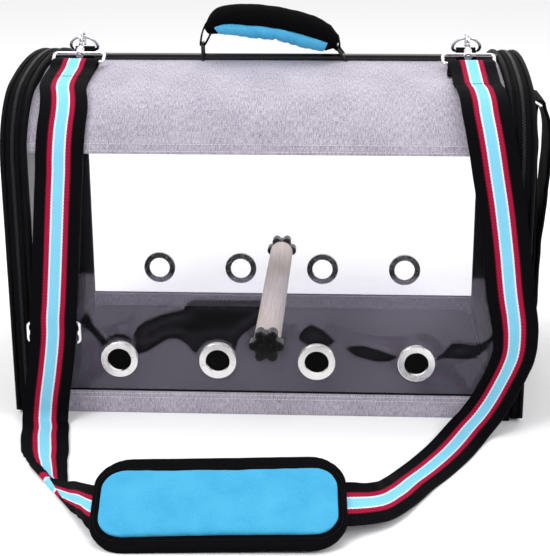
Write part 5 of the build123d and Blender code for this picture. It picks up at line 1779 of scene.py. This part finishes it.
@dataclass
class CarryHandle:
    """Padded handle: a black cover with a blue underside, sewn shut round webbing.

    Attributes:
        foot_z: Height of the crest tube, in millimetres.
        lean: Lean towards the front, in degrees.
        line: Middle line in the handle's plane, in millimetres.
        swell: Half depth and half thickness at each place of the line, in millimetres.
        grip: X where the blue underside starts and stops, in millimetres.
        creases: X and width in millimetres, and depth as a share, of its upright creases.
    """

    foot_z: float = 278.8
    lean: float = 10.0
    line: Line = ((-56, 25), (-45, 31.5), (-20, 32), (5, 29), (30, 22.5), (45, 17), (53, 14))
    swell: Line = ((7, 6), (15, 11.5), (17, 14), (17, 14), (17, 14), (15, 11.5), (8, 7))
    grip: Point = (-50.0, 46.0)
    creases: tuple[Spot, ...] = (
        (-31, 1.6, 0.03), (-24, 2.2, 0.045), (-12, 1.5, 0.05), (-4, 1.8, 0.03), (2.5, 1.3, 0.09),
        (14, 1.9, 0.05), (21, 1.3, 0.03), (33, 1.8, 0.03), (39, 1.4, 0.025),
    )

    def place(self, x: Array, rise: Array) -> Array:
        """Put points of the handle's plane into the cabin's frame, in millimetres."""
        lean = math.radians(self.lean)
        return np.column_stack([x, -rise * math.sin(lean), self.foot_z + rise * math.cos(lean)])

    def section(self, s: Array) -> tuple[Array, ...]:
        """Middle, upward direction and half sizes at shares of the length."""
        ribbon = Ribbon(1, 1)
        for x, rise in self.line:
            ribbon.to(x, rise, 0)
        middle, _, _, along = ribbon.course(1.0)
        at = s * along[-1]
        x, rise = (np.interp(at, along, middle[:, k]) for k in range(2))
        slope = [np.interp(at, along, np.gradient(middle[:, k], along)) for k in range(2)]
        norm = np.hypot(*slope)
        gaps = [math.dist(a, b) for a, b in zip(self.line[:-1], self.line[1:])]
        stops = np.concatenate([[0.0], np.cumsum(gaps)])
        stops *= along[-1] / stops[-1]
        deep, thick = (np.interp(at, stops, [w[k] for w in self.swell]) for k in range(2))
        full = 0.86 + 0.14 * smooth(0, 9, at) * smooth(0, 9, along[-1] - at)
        return x, rise, -slope[1] / norm, slope[0] / norm, deep * full, thick * full

    def tube(self, name: str, along: int, shape: Callable, start: float = 0.0, stop: float = 1.0) -> Piece:
        """Make a closed padded tube round the handle's line.

        Args:
            name: Name of the piece.
            along: Cells along it.
            shape: Gives the share of the full section for an angle and an X.
            start: Share of the line where it starts.
            stop: Share where it stops.

        Returns:
            The closed tube.
        """
        lean = math.radians(self.lean)
        depth = np.array([0.0, -math.cos(lean), -math.sin(lean)])
        shut_over = 0.04

        def squared(wave: Array) -> Array:
            """Fill the section out a little towards its corners."""
            return np.sign(wave) * np.abs(wave) ** 0.88

        def place(u: Array, v: Array) -> Pair:
            """Lay shares round and along on the tube, its ends drawn in."""
            angle = u * 2 * math.pi
            body = np.clip((v - shut_over) / (1 - 2 * shut_over), 0, 1)
            end = np.minimum(v, 1 - v) / shut_over
            shut = np.where(end < 1, np.sqrt(np.clip(1 - (1 - end) ** 2, 0, 1)), 1.0) * 0.985 + 0.015
            s = start + body * (stop - start)
            x, rise, nx, nz, deep, thick = self.section(s)
            push = np.where(v < 0.5, -1, 1) * (1 - np.clip(end, 0, 1)) * 2.2
            share = shape(angle, x) * shut
            up, out = squared(np.sin(angle)) * thick * share, squared(np.cos(angle)) * deep * share
            points = self.place(x + push * nz + up * nx, rise - push * nx + up * nz) + out[:, None] * depth
            return points * MM, np.column_stack([x, angle * 14, 0 * x]) * MM

        obj = cloth(name, 72, along, place)
        with editing(obj):
            close_ends(0.02 * MM)
        return obj

    def build(self) -> None:
        """Make the cover, the blue underside and the core webbing."""
        first, last = self.grip

        def cover_shape(angle: Array, x: Array) -> Array:
            """Full over the top and at both ends, drawn in where the blue lies."""
            inside = smooth(first - 1.5, first + 0.5, x) * (1 - smooth(last - 0.5, last + 1.5, x))
            below = smooth(-0.12, 0.04, -np.sin(angle)) * inside
            lip = np.exp(-(((np.sin(angle) - 0.1) / 0.12) ** 2))
            wrinkle = ripple(x, angle * 9, 12.0, 3) * 0.012 + ripple(x, angle * 5, 4.0, 4) * 0.004
            return 1.0 - 0.2 * below + 0.015 * lip + wrinkle - 0.012

        def grip_shape(angle: Array, x: Array) -> Array:
            """Full underneath with upright creases and the step of its overlap."""
            below = smooth(-0.25, 0.0, -np.sin(angle) + 0.02)
            low = np.clip(-np.sin(angle), 0, 1)
            bent = x - 3.0 * (low - 0.5)
            creases = sum(deep * np.exp(-(((bent - at) / wide) ** 2)) for at, wide, deep in self.creases)
            step = 0.07 * np.exp(-(((x - 5.5) / 4.5) ** 2)) * low**2
            fine = ripple(x, angle * 2, 5.0, 7) * 0.008
            return 0.66 + 0.325 * below - creases * smooth(0.1, 0.7, low) - step + fine - 0.01

        cover = self.tube("handle_cover_cloth", 120, cover_shape)
        dress(cover, HANDLE_CLOTH, "handle", ["handle_cover"], 70)
        grip = self.tube("handle_blue_grip", 150, grip_shape, 0.075, 0.925)
        dress(grip, LIGHTENED_GRIP_BLUE, "handle", ["handle_grip"], 70)
        self.core()

    def core(self) -> None:
        """Loop the ends of the core webbing round the bars of the handle rings."""
        ends = (((-61.0, 12.3), (-56.5, 24.0)), ((54.5, 9.2), (52.0, 15.5)))
        pieces = []
        for number, (bar, end) in enumerate(ends):
            ribbon = Ribbon(6.0, 1.4)
            for x, rise in round_two(end, 3.6, bar, 1.95):
                ribbon.to(*self.place(np.array([x]), np.array([rise]))[0], -90, -self.lean)
            pieces.append(ribbon.build(f"core_end_{number}", 0.9, 4))
        strap = Ribbon(24.0, 2.6)
        for x, rise in self.line[1:-1]:
            strap.to(*self.place(np.array([x]), np.array([rise]))[0], -90, -self.lean)
        core = join(strap.build("handle_core_webbing", 4.0, 6), *pieces)
        core.name = "handle_core_webbing"
        dress(core, CORE_WEB, "handle", ["handle_core"])


# ---------------------------------------------------------------- rigid parts and studio
@dataclass
class Hardware:
    """Rigid parts that keep their CAD shape and take a finish."""

    finishes: tuple[Finish, ...] = (CHROME, NICKEL, STEEL, WIRE, SLEEVE, KNOB, BOARD, WOOD)

    def dress(self) -> None:
        """Give every node that nothing replaces the finish of its slot."""
        by_slot = {finish.slot: finish for finish in self.finishes}
        slots = {part["node"]: part["material_slot"] for part in frame["record"]["subparts"]}
        stood_for = {node for obj in bpy.data.objects for node in obj.get("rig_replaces", [])}
        for node, obj in frame["nodes"].items():
            finish = by_slot.get(slots[node])
            if finish is None:
                if node not in stood_for:
                    log.warning("node %s has no piece of its own", node)
                finish = HANDLE_CLOTH
            for place in range(max(1, len(obj.material_slots))):
                if obj.material_slots:
                    obj.material_slots[place].material = finish.material()
                else:
                    obj.data.materials.append(finish.material())
            log.info("node %s: %s", node, finish.name)


@dataclass
class Studio:
    """Pale floor, white surround, soft lights and the camera.

    Attributes:
        eye: Place of the camera.
        ahead: Direction in which it looks.
        right: Direction to its right.
        lens: Its focal length, in millimetres.
        softboxes: Name, place, aim, size and power of each light.
    """

    eye: Spot = (0.062748, -1.175143, 0.462352)
    ahead: Spot = (-0.05069, 0.94943, -0.30985)
    right: Spot = (0.99864, 0.05199, -0.00409)
    lens: float = 88.45
    softboxes: tuple[tuple[str, Spot, Spot, float, float], ...] = (
        ("key softbox", (-1.1, -1.3, 1.7), (0, 0, 0.12), 0.9, 20.0),
        ("fill softbox", (1.5, -1.2, 1.1), (0, 0, 0.12), 0.9, 10.0),
        ("top softbox", (0.0, 0.3, 1.9), (0, 0, 0.2), 1.2, 12.0),
    )

    def build(self) -> None:
        """Make floor, lights, surround and camera."""
        self.floor()
        self.lights()
        self.camera()

    def floor(self) -> None:
        """Lay the plain pale floor."""
        bpy.ops.object.select_all(action="DESELECT")
        bpy.ops.mesh.primitive_plane_add(size=14, location=(0, 2.0, -0.1 * MM))
        floor = bpy.context.object
        floor.name = "studio_floor"
        settle(floor)
        made = bpy.data.materials.new("matt white floor")
        nodes = Nodes(made)
        matt = nodes.add("BsdfDiffuse", 0, {"Color": linear("#f7f7f8"), "Roughness": 0.2})
        nodes.add("OutputMaterial", None, {"Surface": matt})
        floor.data.materials.append(made)

    def lights(self) -> None:
        """Light the surround, brighter towards the back, and hang the large soft lights."""
        world = bpy.data.worlds.new("white surround")
        bpy.context.scene.world = world
        nodes = Nodes(world)
        towards = nodes.add("TexCoord", "Generated", {})
        back = nodes.add("SeparateXYZ", "Y", {0: towards})
        fade = {"From Min": -0.75, "From Max": 0.1, "To Min": 0.3, "To Max": 1.2}
        bright = nodes.add("MapRange", 0, {"Value": back, **fade})
        sky = nodes.add("Background", 0, {"Color": linear("#ffffff"), "Strength": bright})
        nodes.add("OutputWorld", None, {"Surface": sky})
        for name, place, aim, size, power in self.softboxes:
            light = bpy.data.lights.new(name, "AREA")
            light.size = size
            light.energy = power
            lamp = bpy.data.objects.new(name, light)
            lamp.location = place
            lamp.rotation_euler = (Vector(aim) - Vector(place)).to_track_quat("-Z", "Y").to_euler()
            bpy.context.collection.objects.link(lamp)
        bpy.context.scene.view_settings.view_transform = "Standard"

    def camera(self) -> None:
        """Stand the camera at its fitted place."""
        ahead, right = Vector(self.ahead).normalized(), Vector(self.right).normalized()
        up = right.cross(ahead)
        data = bpy.data.cameras.new("camera")
        data.sensor_width = 36.0
        data.lens = self.lens
        camera = bpy.data.objects.new("camera", data)
        camera.matrix_world = Matrix.Translation(self.eye) @ Matrix((right, up, -ahead)).transposed().to_4x4()
        bpy.context.collection.objects.link(camera)
        bpy.context.scene.camera = camera


def main() -> None:
    """Build the carrier piece by piece, then the studio."""
    logging.basicConfig(level=logging.INFO, format="%(name)s %(message)s")
    bpy.ops.object.select_all(action="DESELECT")
    CabinShell().build()
    for side in Side:
        EndBand(side).build()
        ZipDoor(side).build()
    ShoulderStrap().build()
    Tabs().build()
    PAD.build()
    CarryHandle().build()
    Hardware().dress()
    Studio().build()


if __name__ == "__main__":
    main()
